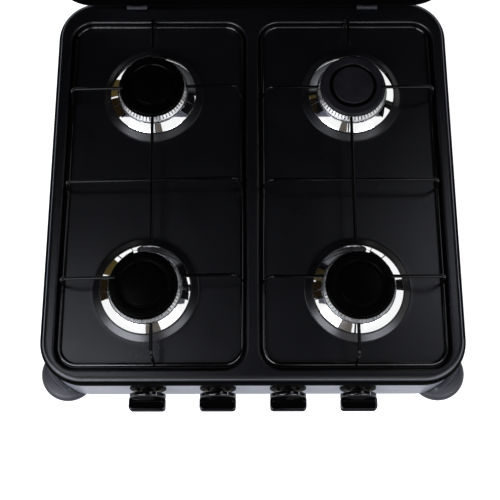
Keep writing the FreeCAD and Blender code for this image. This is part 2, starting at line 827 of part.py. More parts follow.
def make_knob(number, column):
    place = knob_place(column)

    # moulded bezel under the knob, held by the two tap screws
    bezel = new_body("knob_bezel_%d" % number, *place)
    rim = [
        ("bezel_hole_radius", "0"),
        ("bezel_radius", "0"),
        ("bezel_radius", "bezel_thickness / 2"),
        ("bezel_radius - bezel_thickness / 2", "bezel_thickness"),
        ("bezel_hole_radius", "bezel_thickness"),
    ]
    turn(bezel, rim)
    screw_holes = new_sketch(bezel, "XY_Plane", "bezel_thickness")
    for side in ("-", "+"):
        ring(screw_holes, "0 %s bezel_screw_spread / 2" % side, "0", "bezel_screw_radius + screw_clearance")
    pocket(bezel, screw_holes, "bezel_thickness")

    # knob: round skirt with a low dome and a flat grip across it with a recessed field on both faces
    knob = new_body("knob_%d" % number, *place)
    skirt_front = "knob_gap + knob_skirt"
    skirt_top = skirt_front + " + knob_dome"
    skirt = [
        ("0", "knob_gap"),
        ("knob_radius", "knob_gap"),
        ("knob_radius", skirt_front + " - knob_edge"),
        ("knob_radius - knob_edge", skirt_front),
        ("grip_thickness / 2", skirt_top),
        ("0", skirt_top),
    ]
    turn(knob, skirt)
    grip = new_sketch(knob, "XZ_Plane")
    half = "knob_radius"
    grip_outline = [
        ("0 - " + half, "knob_gap + knob_skirt / 2"),
        (half, "knob_gap + knob_skirt / 2"),
        (half, "knob_reach - grip_corner", "grip_corner", 1),
        (half + " - grip_corner", "knob_reach"),
        ("0 - %s + grip_corner" % half, "knob_reach", "grip_corner", 1),
        ("0 - " + half, "knob_reach - grip_corner"),
    ]
    draw(grip, grip_outline)
    pad(knob, grip, "grip_thickness", midplane=True)
    field_half = "(knob_radius - grip_border)"
    for reverse, offset in ((False, "grip_thickness / 2"), (True, "0 - grip_thickness / 2")):
        field = new_sketch(knob, "XZ_Plane", offset)
        low = skirt_top + " + grip_border / 2"
        draw(field, box("0 - " + field_half, field_half, low, "knob_reach - grip_border"))
        pocket(knob, field, "grip_inset", reverse=reverse)
    bore = new_sketch(knob, "XY_Plane", "knob_gap")
    ring(bore, "0", "0", "spindle_radius + guide_clearance")
    pocket(knob, bore, "spindle_reach - knob_gap", reverse=True)


def foot_place(across, along):
    x = "0 %s (worktop_width / 2 - foot_place_x)" % across
    y = "0 %s (worktop_depth / 2 - foot_place_y)" % along
    return x, y


def make_foot(name, across, along):
    # moulded round foot; the body's corner stands in it and a lip climbs round the corner
    x, y = foot_place(across, along)
    foot = new_body("foot_" + name, x, "centre_y + " + y, "0")
    shift = ("0 - (%s)" % x, "0 - (%s)" % y)
    post = new_sketch(foot, "XY_Plane")
    ring(post, "0", "0", "foot_lip_radius")
    pad(foot, post, "foot_height")
    outside = new_sketch(foot, "XY_Plane", "foot_height")
    for grow in ("foot_lip", "foot_lip + foot_radius"):
        draw(outside, band_outline("panel_bottom", grow, *shift))
    pocket(foot, outside, "foot_height - foot_shelf")
    bell = [
        ("0", "0"),
        ("foot_base_radius", "0"),
        ("foot_radius", "foot_belt_low"),
        ("foot_radius", "foot_belt_high"),
        ("foot_shoulder_radius", "foot_shoulder"),
        ("foot_shelf_radius", "foot_shelf"),
        ("0", "foot_shelf"),
    ]
    turn(foot, bell)
    head_hole = "foot_screw_radius * head_ratio + 2 * loose_clearance"
    shank_hole = "foot_screw_radius + screw_clearance"
    hole = [
        ("0", "0"),
        (head_hole, "0"),
        (head_hole, "foot_screw_recess"),
        (shank_hole, "foot_screw_recess"),
        (shank_hole, "foot_height"),
        ("0", "foot_height"),
    ]
    turn(foot, hole, "Groove")
    levels = ("panel_bottom", "foot_height + sheet")
    corner = [new_sketch(foot, "XY_Plane", level) for level in levels]
    for sketch, level in zip(corner, levels):
        draw(sketch, band_outline(level, "loose_clearance", *shift))
    loft(foot, "SubtractiveLoft", corner)


def make_lid():
    # pressed lid, modelled shut about its hinge axis and placed open
    body = new_body("lid", "0", "centre_y + hinge_back", "hinge_z", "0 - lid_angle")
    middle = "0 - hinge_barrel_radius - lid_depth / 2"
    outline = new_sketch(body, "XY_Plane", "lid_rim")
    draw(outline, rounded_box("0", middle, "lid_width", "lid_depth", "lid_corner"))
    pad(body, outline, "lid_height")
    top = "lid_rim + lid_height"
    finish_edges(body, "Chamfer", "Size", "lid_edge", lambda edge: near(edge.ZMin, top))
    field = new_sketch(body, "XY_Plane", top)
    width, depth = "lid_width - 2 * lid_field_inset", "lid_depth - 2 * lid_field_inset"
    draw(field, rounded_box("0", middle, width, depth, "lid_corner"))
    pad(body, field, "lid_field_rise", taper="0 - lid_field_slope")
    shell(body, lambda face: near(face.ZMax, "lid_rim"))
    # the rear wall is cut shorter, so that it clears the knuckles
    low = new_sketch(body, "XY_Plane", "lid_rim")
    draw(low, box("0 - lid_width", "lid_width", "0 - hinge_barrel_radius - lid_corner", "lid_corner"))
    pocket(body, low, "lid_rear_gap", reverse=True)


def make_hinge(name, across):
    place = ("0 %s hinge_place" % across, "centre_y + hinge_back", "hinge_z")
    half, knuckle = "hinge_width / 2", "hinge_knuckle / 2"
    bore = "hinge_pin_radius + running_clearance"

    # fixed leaf: from the middle knuckle back over the rim and down the worktop's rear skirt
    fixed = new_body("hinge_bracket_" + name, *place)
    strip = new_sketch(fixed, "XY_Plane", "0 - hinge_barrel_radius")
    shoulder = "hinge_barrel_radius + 2 * loose_clearance"
    back = "hinge_inset + hinge_leaf"
    tee = [
        ("0 - " + knuckle, "0"),
        (knuckle, "0"),
        (knuckle, shoulder),
        (half, shoulder),
        (half, back),
        ("0 - " + half, back),
        ("0 - " + half, shoulder),
        ("0 - " + knuckle, shoulder),
    ]
    draw(strip, tee)
    pad(fixed, strip, "hinge_leaf")
    leaf = new_sketch(fixed, "XZ_Plane", "0 - hinge_inset - hinge_leaf")
    leaf_foot = "0 - hinge_height - hinge_leaf_height"
    draw(leaf, box("0 - " + half, half, leaf_foot, "hinge_leaf - hinge_barrel_radius"))
    pad(fixed, leaf, "hinge_leaf")
    barrel = new_sketch(fixed, "YZ_Plane")
    ring(barrel, "0", "0", "hinge_barrel_radius")
    pad(fixed, barrel, "hinge_knuckle", midplane=True)
    pin_hole = new_sketch(fixed, "YZ_Plane")
    ring(pin_hole, "0", "0", bore)
    pocket(fixed, pin_hole, "hinge_width", midplane=True)
    screw_holes = new_sketch(fixed, "XZ_Plane", "0 - hinge_inset")
    for side in ("-", "+"):
        level = "skirt_height / 2 - skirt_height - hinge_height"
        ring(screw_holes, "0 %s hinge_screw_spread / 2" % side, level, "hinge_screw_radius + screw_clearance")
    pocket(fixed, screw_holes, "hinge_leaf * 2")

    # moving leaf on the lid's rear wall with the two outer knuckles, modelled shut like the lid
    moving = new_body("lid_leaf_" + name, *place, "0 - lid_angle")
    inner = "(hinge_knuckle / 2 + loose_clearance)"
    strip_top = "hinge_barrel_radius + 2 * loose_clearance"
    plate = new_sketch(moving, "XZ_Plane", "hinge_barrel_radius - hinge_leaf")
    arch = [
        ("0 - " + half, "0"),
        ("0 - " + inner, "0"),
        ("0 - " + inner, strip_top),
        (inner, strip_top),
        (inner, "0"),
        (half, "0"),
        (half, strip_top + " + hinge_leaf_height"),
        ("0 - " + half, strip_top + " + hinge_leaf_height"),
    ]
    draw(plate, arch)
    pad(moving, plate, "hinge_leaf")
    for start in (inner, "0 - " + half):
        barrel = new_sketch(moving, "YZ_Plane", start)
        ring(barrel, "0", "0", "hinge_barrel_radius")
        pad(moving, barrel, "%s - %s" % (half, inner))
    pin_hole = new_sketch(moving, "YZ_Plane")
    ring(pin_hole, "0", "0", bore)
    pocket(moving, pin_hole, "hinge_width * 2", midplane=True)


def make_gas_rail():
    # one bent tube: the rail across the taps and the supply run along the right side to the inlet
    body = new_body("gas_rail", "0", "0", "rail_z")
    start = "0 - outer_knob_x - rail_overhang"
    outside = ("AdditivePipe", start, "rail_radius")
    bore = ("SubtractivePipe", start + " + pipe_wall * 2", "rail_radius - pipe_wall")
    for kind, first, radius in (outside, bore):
        path = [
            (first, "rail_y"),
            ("supply_place - supply_bend", "rail_y", "supply_bend", 1),
            ("supply_place", "rail_y + supply_bend"),
            ("supply_place", "inlet_y - inlet_nut_length"),
        ]
        wire(body, ("XY_Plane", "0"), path, ("YZ_Plane", first), ("rail_y", "0"), radius, kind=kind)


def make_gas_inlet():
    # hexagon and male pipe thread that pass out through the rear wall; local Z points to the back
    body = new_body("gas_inlet", "supply_place", "inlet_y", "rail_z", "0 - 90")
    nut = new_sketch(body, "XY_Plane")
    flat = "inlet_nut_radius * sqrt(3) / 2"
    corners = [("inlet_nut_radius", "0"), ("inlet_nut_radius / 2", flat), ("0 - inlet_nut_radius / 2", flat)]
    draw(nut, corners + [("0 - (%s)" % x, "0 - (%s)" % y) for x, y in corners])
    pad(body, nut, "inlet_nut_length", reverse=True)
    stub = new_sketch(body, "XY_Plane")
    ring(stub, "0", "0", "inlet_radius")
    pad(body, stub, "inlet_length")
    bore = new_sketch(body, "XY_Plane", "inlet_length")
    ring(bore, "0", "0", "inlet_bore_radius")
    pocket(body, bore, "inlet_length + inlet_nut_length")


def bent_pipe(points, radius, bend):
    # round pipe along straight runs joined by tangent bends
    edges = []
    here = points[0]
    for before, corner, after in zip(points, points[1:], points[2:]):
        arriving = (before - corner).normalize()
        leaving = (after - corner).normalize()
        half_angle = arriving.getAngle(leaving) / 2
        reach = bend / math.tan(half_angle)
        first, last = corner + arriving * reach, corner + leaving * reach
        bisector = (arriving + leaving).normalize()
        middle = corner + bisector * (bend / math.sin(half_angle) - bend)
        edges += [Part.LineSegment(here, first).toShape(), Part.Arc(first, middle, last).toShape()]
        here = last
    edges.append(Part.LineSegment(here, points[-1]).toShape())
    path = Part.Wire(edges)
    section = Part.Wire(Part.makeCircle(radius, points[0], points[1] - points[0]))
    return path.makePipeShell([section], True, False)


def make_feed_pipes():
    # outer taps feed the front burners straight on, inner taps reach the rear burners past the front ones
    tilt = math.radians(value("panel_slope"))
    up = Vector(0, math.sin(tilt), math.cos(tilt))
    inward = Vector(0, math.cos(tilt), -math.sin(tilt))
    tubes, jets = [], []
    for name, across, along in burners:
        column = "outer_knob_x" if along == "-" else "knob_pitch / 2"
        tap = point("0 %s %s" % (across, column), "centre_y - panel_face", "knob_z")
        outlet = tap + inward * value("outlet_place") + up * value("outlet_height")
        rise = outlet + up * ((value("tube_z") - outlet.z) / up.z)
        x, y = burner_place(across, along)
        mouth = point("%s + %s" % (x, tube_shift(across, along)), y + " - tube_reach", "tube_z")
        end = mouth - Vector(0, value("injector_nut_length"), 0)
        points = [outlet, rise, end]
        if along == "+":
            middle = rise.y + (end.y - rise.y) * value("feed_turn_share")
            half_run = value("feed_turn_run") / 2
            turn_out = Vector(rise.x, middle - half_run, rise.z)
            turn_in = Vector(end.x, middle + half_run, rise.z)
            points = [outlet, rise, turn_out, turn_in, end]
        tubes.append(bent_pipe(points, value("feed_radius"), value("feed_bend")))
        jets.append(injector(end))
    new_shape("feed_pipes", Part.makeCompound(tubes))
    new_shape("injectors", Part.makeCompound(jets))


def injector(start):
    # hexagon outside the mixing tube and a nose through its end wall
    back = Vector(0, 1, 0)
    nut_length = value("injector_nut_length")
    nut = Part.makeCylinder(value("injector_nut_radius"), nut_length, start, back)
    length = nut_length + value("tube_end_wall + injector_nose")
    nose = Part.makeCylinder(value("injector_radius"), length, start, back)
    bore = Part.makeCylinder(value("injector_radius / 3"), length, start, back)
    return nut.fuse(nose).cut(bore).removeSplitter()


def screw(seat, direction, name):
    # pan head on its seat and a shank along the direction
    radius = value(name + "_radius")
    head_height = value("%s_radius * head_height_ratio" % name)
    top = seat - direction * head_height
    head = Part.makeCylinder(radius * value("head_ratio"), head_height, top, direction)
    shank = Part.makeCylinder(radius, value(name + "_length"), seat, direction)
    return head.fuse(shank)


def make_screws():
    tilt = math.radians(value("panel_slope"))
    inward = Vector(0, math.cos(tilt), -math.sin(tilt))
    shanks = []
    for column in knob_columns:
        for side in ("-", "+"):
            x = "%s * knob_pitch %s bezel_screw_spread / 2" % (column, side)
            face = point(x, "centre_y - panel_face", "knob_z")
            shanks.append(screw(face - inward * value("bezel_thickness"), inward, "bezel_screw"))
    new_shape("bezel_screws", Part.makeCompound(shanks))

    shanks = []
    for _, across, along in burners:
        x, y = burner_place(across, along)
        for side in ("-", "+"):
            seat = point("%s %s burner_screw_place" % (x, side), y, "collar_z")
            shanks.append(screw(seat, Vector(0, 0, -1), "burner_screw"))
    new_shape("burner_screws", Part.makeCompound(shanks))

    shanks = []
    for _, across, along in burners:
        x, y = foot_place(across, along)
        shanks.append(screw(point(x, "centre_y + " + y, "foot_screw_recess"), Vector(0, 0, 1), "foot_screw"))
    new_shape("foot_screws", Part.makeCompound(shanks))

    shanks = []
    for place in hinge_screw_places():
        seat = point(place, "centre_y + worktop_depth / 2 + hinge_leaf", "skirt_z + skirt_height / 2")
        shanks.append(screw(seat, Vector(0, -1, 0), "hinge_screw"))
    new_shape("hinge_screws", Part.makeCompound(shanks))

    pins = []
    for side in ("-", "+"):
        start = point("0 %s hinge_place - hinge_width / 2" % side, "centre_y + hinge_back", "hinge_z")
        along = Vector(1, 0, 0)
        pins.append(Part.makeCylinder(value("hinge_pin_radius"), value("hinge_width"), start, along))
    new_shape("hinge_pins", Part.makeCompound(pins))


def make_all():
    make_worktop()
    make_front_panel()
    make_body_shell()
    for name, across, along in burners:
        make_burner(name, across, along)
        make_foot(name, across, along)
    for number, column in enumerate(knob_columns, 1):
        make_tap(number, column)
        make_knob(number, column)
    make_lid()
    for name, across in (("left", "-"), ("right", "+")):
        make_pan_support(name, across)
        make_hinge(name, across)
    make_gas_rail()
    make_gas_inlet()
    make_feed_pipes()
    make_screws()


dimension_sheet = fill_sheet("Sizes", sizes, "")
fill_sheet("Places", places, "=")
make_all()
doc.recompute()

failed = [item.Label for item in doc.Objects if "Invalid" in item.State or "Error" in item.State]
failed += [part.Label for part in sub_parts if part.Shape.isNull() or not part.Shape.isValid()]
if failed:
    raise ValueError("failed: " + ", ".join(failed))
os.makedirs("parts", exist_ok=True)
for part in sub_parts:
    part.Shape.exportStep("parts/%s.step" % part.Label)
print(len(sub_parts), "sub-parts written")
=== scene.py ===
import bpy
import bmesh
import json
import math
from mathutils import Matrix, Vector

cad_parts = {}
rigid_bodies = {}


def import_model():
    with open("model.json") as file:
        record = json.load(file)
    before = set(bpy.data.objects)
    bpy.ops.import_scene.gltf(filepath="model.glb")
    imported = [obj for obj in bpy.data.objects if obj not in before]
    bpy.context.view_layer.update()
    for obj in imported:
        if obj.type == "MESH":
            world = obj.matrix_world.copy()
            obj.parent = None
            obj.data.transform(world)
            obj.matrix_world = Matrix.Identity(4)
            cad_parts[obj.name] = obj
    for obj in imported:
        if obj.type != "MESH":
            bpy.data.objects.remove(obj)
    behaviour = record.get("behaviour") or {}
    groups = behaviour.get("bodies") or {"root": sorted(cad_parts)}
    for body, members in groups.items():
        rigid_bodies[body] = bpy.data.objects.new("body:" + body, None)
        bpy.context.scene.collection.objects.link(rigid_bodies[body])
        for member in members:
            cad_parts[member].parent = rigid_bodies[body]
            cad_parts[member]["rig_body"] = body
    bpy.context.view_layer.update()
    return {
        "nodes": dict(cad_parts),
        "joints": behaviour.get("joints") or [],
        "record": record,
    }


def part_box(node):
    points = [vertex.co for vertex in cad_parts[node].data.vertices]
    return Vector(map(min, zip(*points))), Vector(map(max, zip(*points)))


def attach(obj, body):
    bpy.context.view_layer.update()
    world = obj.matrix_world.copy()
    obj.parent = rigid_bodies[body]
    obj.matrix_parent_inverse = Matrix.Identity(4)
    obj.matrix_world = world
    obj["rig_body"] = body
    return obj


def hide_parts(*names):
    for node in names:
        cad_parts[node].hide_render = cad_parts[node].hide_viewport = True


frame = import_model()
nodes = frame["nodes"]
joints = {joint["name"]: joint for joint in frame["joints"]}
scene = bpy.context.scene
print("frame loaded:", len(nodes), "nodes")

# Shapes are drawn in millimetres in the stove's own frame; the mesh goes to metres when a piece is finished.
metre = 0.001
tiny = 1e-6
sides = {"left": -1, "right": 1}
cornerNames = ["front_left", "front_right", "rear_left", "rear_right"]


def boxOf(node):
    low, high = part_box(node)
    return low / metre, high / metre


def middleOf(node):
    low, high = boxOf(node)
    return (low + high) / 2


worktopLow, worktopHigh = boxOf("worktop")
worktopWidth = worktopHigh.x - worktopLow.x
worktopDepth = worktopHigh.y - worktopLow.y
centreY = (worktopLow.y + worktopHigh.y) / 2
rimZ = worktopHigh.z


# Materials

def linear(hexColour):
    channels = [int(hexColour[k : k + 2], 16) / 255 for k in (1, 3, 5)]
    return [c / 12.92 if c <= 0.04045 else ((c + 0.055) / 1.055) ** 2.4 for c in channels] + [1.0]


def addNode(tree, kind, inputs=None, **settings):
    node = tree.nodes.new(kind)
    for name, setting in settings.items():
        setattr(node, name, setting)
    for name, value in (inputs or {}).items():
        socket = node.inputs[name]
        if isinstance(value, bpy.types.NodeSocket):
            tree.links.new(value, socket)
        else:
            socket.default_value = value
    return node


def perMm(size):
    # texture scale for features of a size in millimetres, on Object coordinates in metres
    return 1 / (size * metre)


finishes = {
    # satin vitreous enamel, fired on pressed steel: cool black with a faint orange-peel
    "blackEnamel": dict(dark="#020204", light="#040407", rough=(0.27, 0.31), patch=60, grain=2.2,
                        bump=0.03, ior=1.5),
    # enamel of the lid, which has lost its shine
    "lidEnamel": dict(dark="#020203", light="#030304", rough=(0.3, 0.36), patch=60, grain=2.2,
                      bump=0.03, gloss=0.2),
    # the same enamel, matt and barely reflecting: where it runs thin on cut wire ends, and below the rim's
    # shine on its roll and skirt, as painted shade
    "thinEnamel": dict(dark="#020203", light="#050506", rough=(0.7, 0.8), patch=30, grain=1.2,
                       bump=0.06, gloss=0.02),
    # glossy enamel on bent wire, a little uneven where it pooled
    "wireEnamel": dict(dark="#020202", light="#040404", rough=(0.05, 0.1), patch=18, grain=2.2,
                       bump=0.05, gloss=0.75),
    # the same enamel on the arms, dulled by flames
    "armEnamel": dict(dark="#020202", light="#040404", rough=(0.06, 0.12), patch=18, grain=2.2,
                      bump=0.05, gloss=0.2),
    # matt stove black on a pressed cap, finely grained by the heat
    "capEnamel": dict(dark="#020202", light="#040404", rough=(0.2, 0.26), patch=14, grain=0.9,
                      bump=0.03, gloss=0.03),
    # the same black, paler and glossier, on one cap whose groove keeps the darker black as painted shade
    "capDusk": dict(dark="#0c0c0e", light="#1b1b1f", rough=(0.35, 0.5), patch=18, grain=0.9,
                    bump=0.05, gloss=0.2),
    # satin silver lacquer with fine aluminium flake over sheet steel
    "silverPaint": dict(dark="#878a91", light="#979aa1", rough=(0.3, 0.38), patch=40, grain=0.7,
                        bump=0.02, metal=0.55),
    # die-cast aluminium, bright where the slots were milled
    "castAluminium": dict(dark="#cfd0d0", light="#e6e7e7", rough=(0.24, 0.36), patch=6, grain=0.6,
                          bump=0.05, metal=1.0),
    # polished chrome plate over spun steel
    "chromePlate": dict(dark="#f0f1f2", light="#fafafa", rough=(0.03, 0.06), patch=25, grain=3.0,
                        bump=0.004, metal=1.0),
    # turned brass, made dark and greyish
    "turnedBrass": dict(dark="#3a3226", light="#6e6450", rough=(0.18, 0.3), patch=6, grain=0.5,
                        bump=0.04, metal=1.0),
    # moulded phenolic, polished by the mould
    "knobPlastic": dict(dark="#030304", light="#060607", rough=(0.04, 0.08), patch=20, grain=1.2,
                        bump=0.01, ior=1.5),
    # moulded nylon, dull, on the bezels; on the ends of the grips the same dull black is painted shade
    "bezelPlastic": dict(dark="#020202", light="#050505", rough=(0.5, 0.6), patch=15, grain=0.8,
                         bump=0.03, gloss=0.04),
    # moulded polypropylene with a fine spark-eroded grain
    "footPlastic": dict(dark="#232429", light="#2d2e34", rough=(0.42, 0.5), patch=22, grain=0.7,
                        bump=0.05, ior=1.5),
    # dark grey paint on folded steel
    "hingePaint": dict(dark="#26272a", light="#313235", rough=(0.5, 0.6), patch=9, grain=0.8,
                       bump=0.04, gloss=0.3),
    # bright zinc plating over steel, with the cloudy patches of passivation
    "zincSteel": dict(dark="#a3a6a9", light="#bfc2c4", rough=(0.26, 0.4), patch=8, grain=0.6,
                      bump=0.03, metal=1.0),
    # drawn aluminium tube
    "drawnAluminium": dict(dark="#a6a7a8", light="#bdbebf", rough=(0.28, 0.38), patch=12, grain=0.7,
                           bump=0.03, metal=1.0),
    # white pad-printed ink
    "whiteInk": dict(dark="#8f9094", light="#a9aaae", rough=(0.5, 0.6), patch=6, grain=0.4,
                     bump=0.02, ior=1.5),
}


def makeFinish(name, dark, light, rough, patch, grain, bump, metal=0.0, ior=1.45, gloss=0.5):
    material = bpy.data.materials.new(name)
    material.use_nodes = True
    tree = material.node_tree
    shader = tree.nodes["Principled BSDF"]
    shader.inputs["Metallic"].default_value = metal
    shader.inputs["Specular IOR Level"].default_value = gloss
    if metal == 0:
        shader.inputs["IOR"].default_value = ior
    place = addNode(tree, "ShaderNodeTexCoord").outputs["Object"]
    clouds = addNode(tree, "ShaderNodeTexNoise", {"Vector": place, "Scale": perMm(patch), "Detail": 4.0})
    # sockets 6 and 7 of the mix node are its colours, and output 2 is the mixed one
    mix = {"Factor": clouds.outputs["Fac"], 6: linear(dark), 7: linear(light)}
    tint = addNode(tree, "ShaderNodeMix", mix, data_type="RGBA")
    tree.links.new(tint.outputs[2], shader.inputs["Base Color"])
    wear = {"Value": clouds.outputs["Fac"], "From Min": 0.3, "From Max": 0.7,
            "To Min": rough[0], "To Max": rough[1]}
    dulling = addNode(tree, "ShaderNodeMapRange", wear)
    tree.links.new(dulling.outputs["Result"], shader.inputs["Roughness"])
    skin = addNode(tree, "ShaderNodeTexNoise", {"Vector": place, "Scale": perMm(grain), "Detail": 3.0})
    relief = {"Height": skin.outputs["Fac"], "Strength": bump, "Distance": grain * metre}
    raised = addNode(tree, "ShaderNodeBump", relief)
    tree.links.new(raised.outputs["Normal"], shader.inputs["Normal"])
    return material


materials = {name: makeFinish(name, **settings) for name, settings in finishes.items()}
print("materials:", len(materials))


# Mesh helpers

def roundCorners(points, closed=False, step=15):
    # a polyline whose points (x, y, radius) become arcs of that radius
    result = []
    count = len(points)
    for index, corner in enumerate(points):
        here = Vector(corner[:2])
        radius = corner[2] if len(corner) > 2 else 0
        if radius == 0 or (not closed and index in (0, count - 1)):
            result.append(here)
            continue
        arriving = (Vector(points[index - 1][:2]) - here).normalized()
        leaving = (Vector(points[(index + 1) % count][:2]) - here).normalized()
        halfAngle = arriving.angle(leaving) / 2
        reach = radius / math.tan(halfAngle)
        centre = here + (arriving + leaving).normalized() * radius / math.sin(halfAngle)
        first, last = here + arriving * reach - centre, here + leaving * reach - centre
        sweep = math.pi - 2 * halfAngle
        parts = max(2, math.ceil(math.degrees(sweep) / step))
        turn = math.copysign(sweep / parts, first.cross(last))
        result += [centre + Matrix.Rotation(turn * k, 2) @ first for k in range(parts + 1)]
    return result


def outline(width, depth, corner, centre=(0, 0), steps=16):
    # rounded rectangle, counter-clockwise, always with the same number of points
    points = []
    for quarter, (sx, sy) in enumerate([(1, -1), (1, 1), (-1, 1), (-1, -1)]):
        pivot = Vector((centre[0] + sx * (width / 2 - corner), centre[1] + sy * (depth / 2 - corner)))
        for k in range(steps + 1):
            angle = math.radians(-90 + 90 * quarter + 90 * k / steps)
            points.append(pivot + corner * Vector((math.cos(angle), math.sin(angle))))
    return points


def addLoop(mesh, points, z):
    return [mesh.verts.new((p[0], p[1], z)) for p in points]


def bridge(mesh, lower, upper, closed=True):
    count = len(lower)
    faces = []
    for k in range(count if closed else count - 1):
        faces.append(mesh.faces.new((lower[k], lower[(k + 1) % count], upper[(k + 1) % count], upper[k])))
    return faces


def loopEdges(mesh, loop):
    return [mesh.edges.get((a, b)) or mesh.edges.new((a, b)) for a, b in zip(loop, loop[1:] + loop[:1])]


def fillBetween(mesh, *loops):
    edges = [edge for loop in loops for edge in loopEdges(mesh, loop)]
    bmesh.ops.triangle_fill(mesh, edges=edges, use_beauty=True, normal=(0, 0, 1))


def faceUp(mesh):
    # an open pressing shows its outer face upwards
    bmesh.ops.recalc_face_normals(mesh, faces=mesh.faces)
    if sum(face.normal.z * face.calc_area() for face in mesh.faces) < 0:
        bmesh.ops.reverse_faces(mesh, faces=mesh.faces)


def revolve(mesh, profile, steps=96, centre=(0, 0, 0)):
    # turn (radius, z) points about the vertical through the centre
    previous = None
    for radius, z in profile:
        if radius < tiny:
            ring = [mesh.verts.new((centre[0], centre[1], centre[2] + z))]
        else:
            angles = [2 * math.pi * k / steps for k in range(steps)]
            spots = [(centre[0] + radius * math.cos(a), centre[1] + radius * math.sin(a)) for a in angles]
            ring = addLoop(mesh, spots, centre[2] + z)
        if previous:
            if len(previous) == 1 or len(ring) == 1:
                tip, rest = (previous[0], ring) if len(previous) == 1 else (ring[0], previous)
                for k in range(steps):
                    mesh.faces.new((tip, rest[k], rest[(k + 1) % steps]))
            else:
                bridge(mesh, previous, ring)
        else:
            first = ring
        previous = ring
    return first, previous


def closedRevolve(mesh, profile, steps=96, centre=(0, 0, 0)):
    first, last = revolve(mesh, profile, steps, centre)
    bridge(mesh, last, first)


wireEnd = dict(taper=0.62, dome=0.45)  # shares of the wire's radius


def tube(mesh, path, radius, facets=16, closed=False):
    # round wire along points in space, carried without twist
    path = [Vector(p) for p in path]
    count = len(path)
    angles = [2 * math.pi * k / facets for k in range(facets)]
    rings = []
    across = None
    for k, here in enumerate(path):
        before = path[k - 1] if k or closed else here
        after = path[(k + 1) % count] if k < count - 1 or closed else here
        along = ((here - before).normalized() + (after - here).normalized()).normalized()
        if across is None:
            across = along.orthogonal().normalized()
        across = (across - along * across.dot(along)).normalized()
        up = along.cross(across)
        spots = [here + (across * math.cos(a) + up * math.sin(a)) * radius for a in angles]
        rings.append([mesh.verts.new(spot) for spot in spots])
    for k in range(count if closed else count - 1):
        bridge(mesh, rings[k], rings[(k + 1) % count])
    if not closed:
        for ring, beyond in ((rings[0], path[0] - path[1]), (rings[-1], path[-1] - path[-2])):
            middle = sum((v.co for v in ring), Vector()) / facets
            tip = middle + beyond.normalized() * radius * wireEnd["dome"]
            small = [mesh.verts.new(tip + (v.co - middle) * wireEnd["taper"]) for v in ring]
            for face in [*bridge(mesh, ring, small), mesh.faces.new(small)]:
                face.material_index = 1  # a cut end is duller than the wire


def bentPath(points, radius, steps=8):
    # straight runs in space joined by round bends
    points = [Vector(p) for p in points]
    path = [points[0]]
    for before, corner, after in zip(points, points[1:], points[2:]):
        arriving, leaving = (before - corner).normalized(), (after - corner).normalized()
        halfAngle = arriving.angle(leaving) / 2
        reach = radius / math.tan(halfAngle)
        centre = corner + (arriving + leaving).normalized() * radius / math.sin(halfAngle)
        first = corner + arriving * reach - centre
        axis = first.cross(corner + leaving * reach - centre).normalized()
        sweep = math.pi - 2 * halfAngle
        path += [centre + Matrix.Rotation(sweep * k / steps, 3, axis) @ first for k in range(steps + 1)]
    return path + [points[-1]]


def smoothByAngle(mesh, limit=32):
    for face in mesh.faces:
        face.smooth = True
    for edge in mesh.edges:
        edge.smooth = len(edge.link_faces) != 2 or edge.calc_face_angle(0) < math.radians(limit)


def addObject(name, data):
    piece = bpy.data.objects.new(name, data)
    scene.collection.objects.link(piece)
    return piece


def makeObject(name, mesh, finish, place=None, closed=True, limit=32, extra=(), weld=1e-4):
    # bmesh in millimetres to an object at the origin; extra finishes are for faces numbered from 1
    bmesh.ops.remove_doubles(mesh, verts=mesh.verts, dist=weld)
    if closed:
        bmesh.ops.recalc_face_normals(mesh, faces=mesh.faces)
    if place:
        mesh.transform(place)
    mesh.transform(Matrix.Scale(metre, 4))
    smoothByAngle(mesh, limit)
    data = bpy.data.meshes.new(name)
    mesh.to_mesh(data)
    mesh.free()
    for each in (finish, *extra):
        data.materials.append(materials[each])
    return addObject(name, data)


def bake(piece, limit=None):
    # the evaluated shape becomes the piece's own mesh, and its modifiers go
    bpy.context.view_layer.update()
    shaped = bpy.data.meshes.new_from_object(piece.evaluated_get(bpy.context.evaluated_depsgraph_get()))
    piece.modifiers.clear()
    old = piece.data
    piece.data = shaped
    bpy.data.meshes.remove(old)
    if limit:
        mesh = bmesh.new()
        mesh.from_mesh(shaped)
        bmesh.ops.remove_doubles(mesh, verts=mesh.verts, dist=tiny)
        smoothByAngle(mesh, limit)
        mesh.to_mesh(shaped)
        mesh.free()
    return piece


def thicken(piece, thickness):
    # the drawn face stays outside and the sheet grows inwards
    modifier = piece.modifiers.new("sheet", "SOLIDIFY")
    modifier.thickness = thickness * metre
    modifier.offset = -1
    return bake(piece, 32)


def cutAway(piece, cutter, operation="DIFFERENCE", limit=32):
    modifier = piece.modifiers.new("cut", "BOOLEAN")
    modifier.operation = operation
    modifier.solver = "EXACT"
    modifier.object = cutter
    bake(piece, limit)
    bpy.data.objects.remove(cutter)


def settle(piece, body, slot, *replaced):
    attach(piece, body)
    if replaced:
        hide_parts(*replaced)


def join(name, pieces):
    mesh = bmesh.new()
    for piece in pieces:
        mesh.from_mesh(piece.data)
    data = bpy.data.meshes.new(name)
    mesh.to_mesh(data)
    mesh.free()
    return data


# Worktop: one pressed sheet with two wells and a collar under each burner

worktop = dict(
    corner=52, edge=10, edgeRun=1, sheet=0.8, divider=15,
    shineFront=0.22, shineSide=0.12,  # how far down its roll the rim shines, as a share of the edge; below that it takes the matt enamel as painted shade
    wellWidth=224.5, wellLength=447.4, wellFront=16.8, wellCorner=27, wellDepth=8, wellRun=1.5,
    lip=2.6, lipRun=1, root=2.0, rootRun=6,
    collarFoot=63, collarTop=55, collarHeight=5, collarRun=5, footRound=4, topRound=2.5, hole=42,
    shift=dict(front_left=-2.6),  # this burner sits a little outside its place
)


def burnerSpot(name):
    spot = middleOf("burner_cap_" + name)
    return spot.x + worktop["shift"].get(name, 0), spot.y


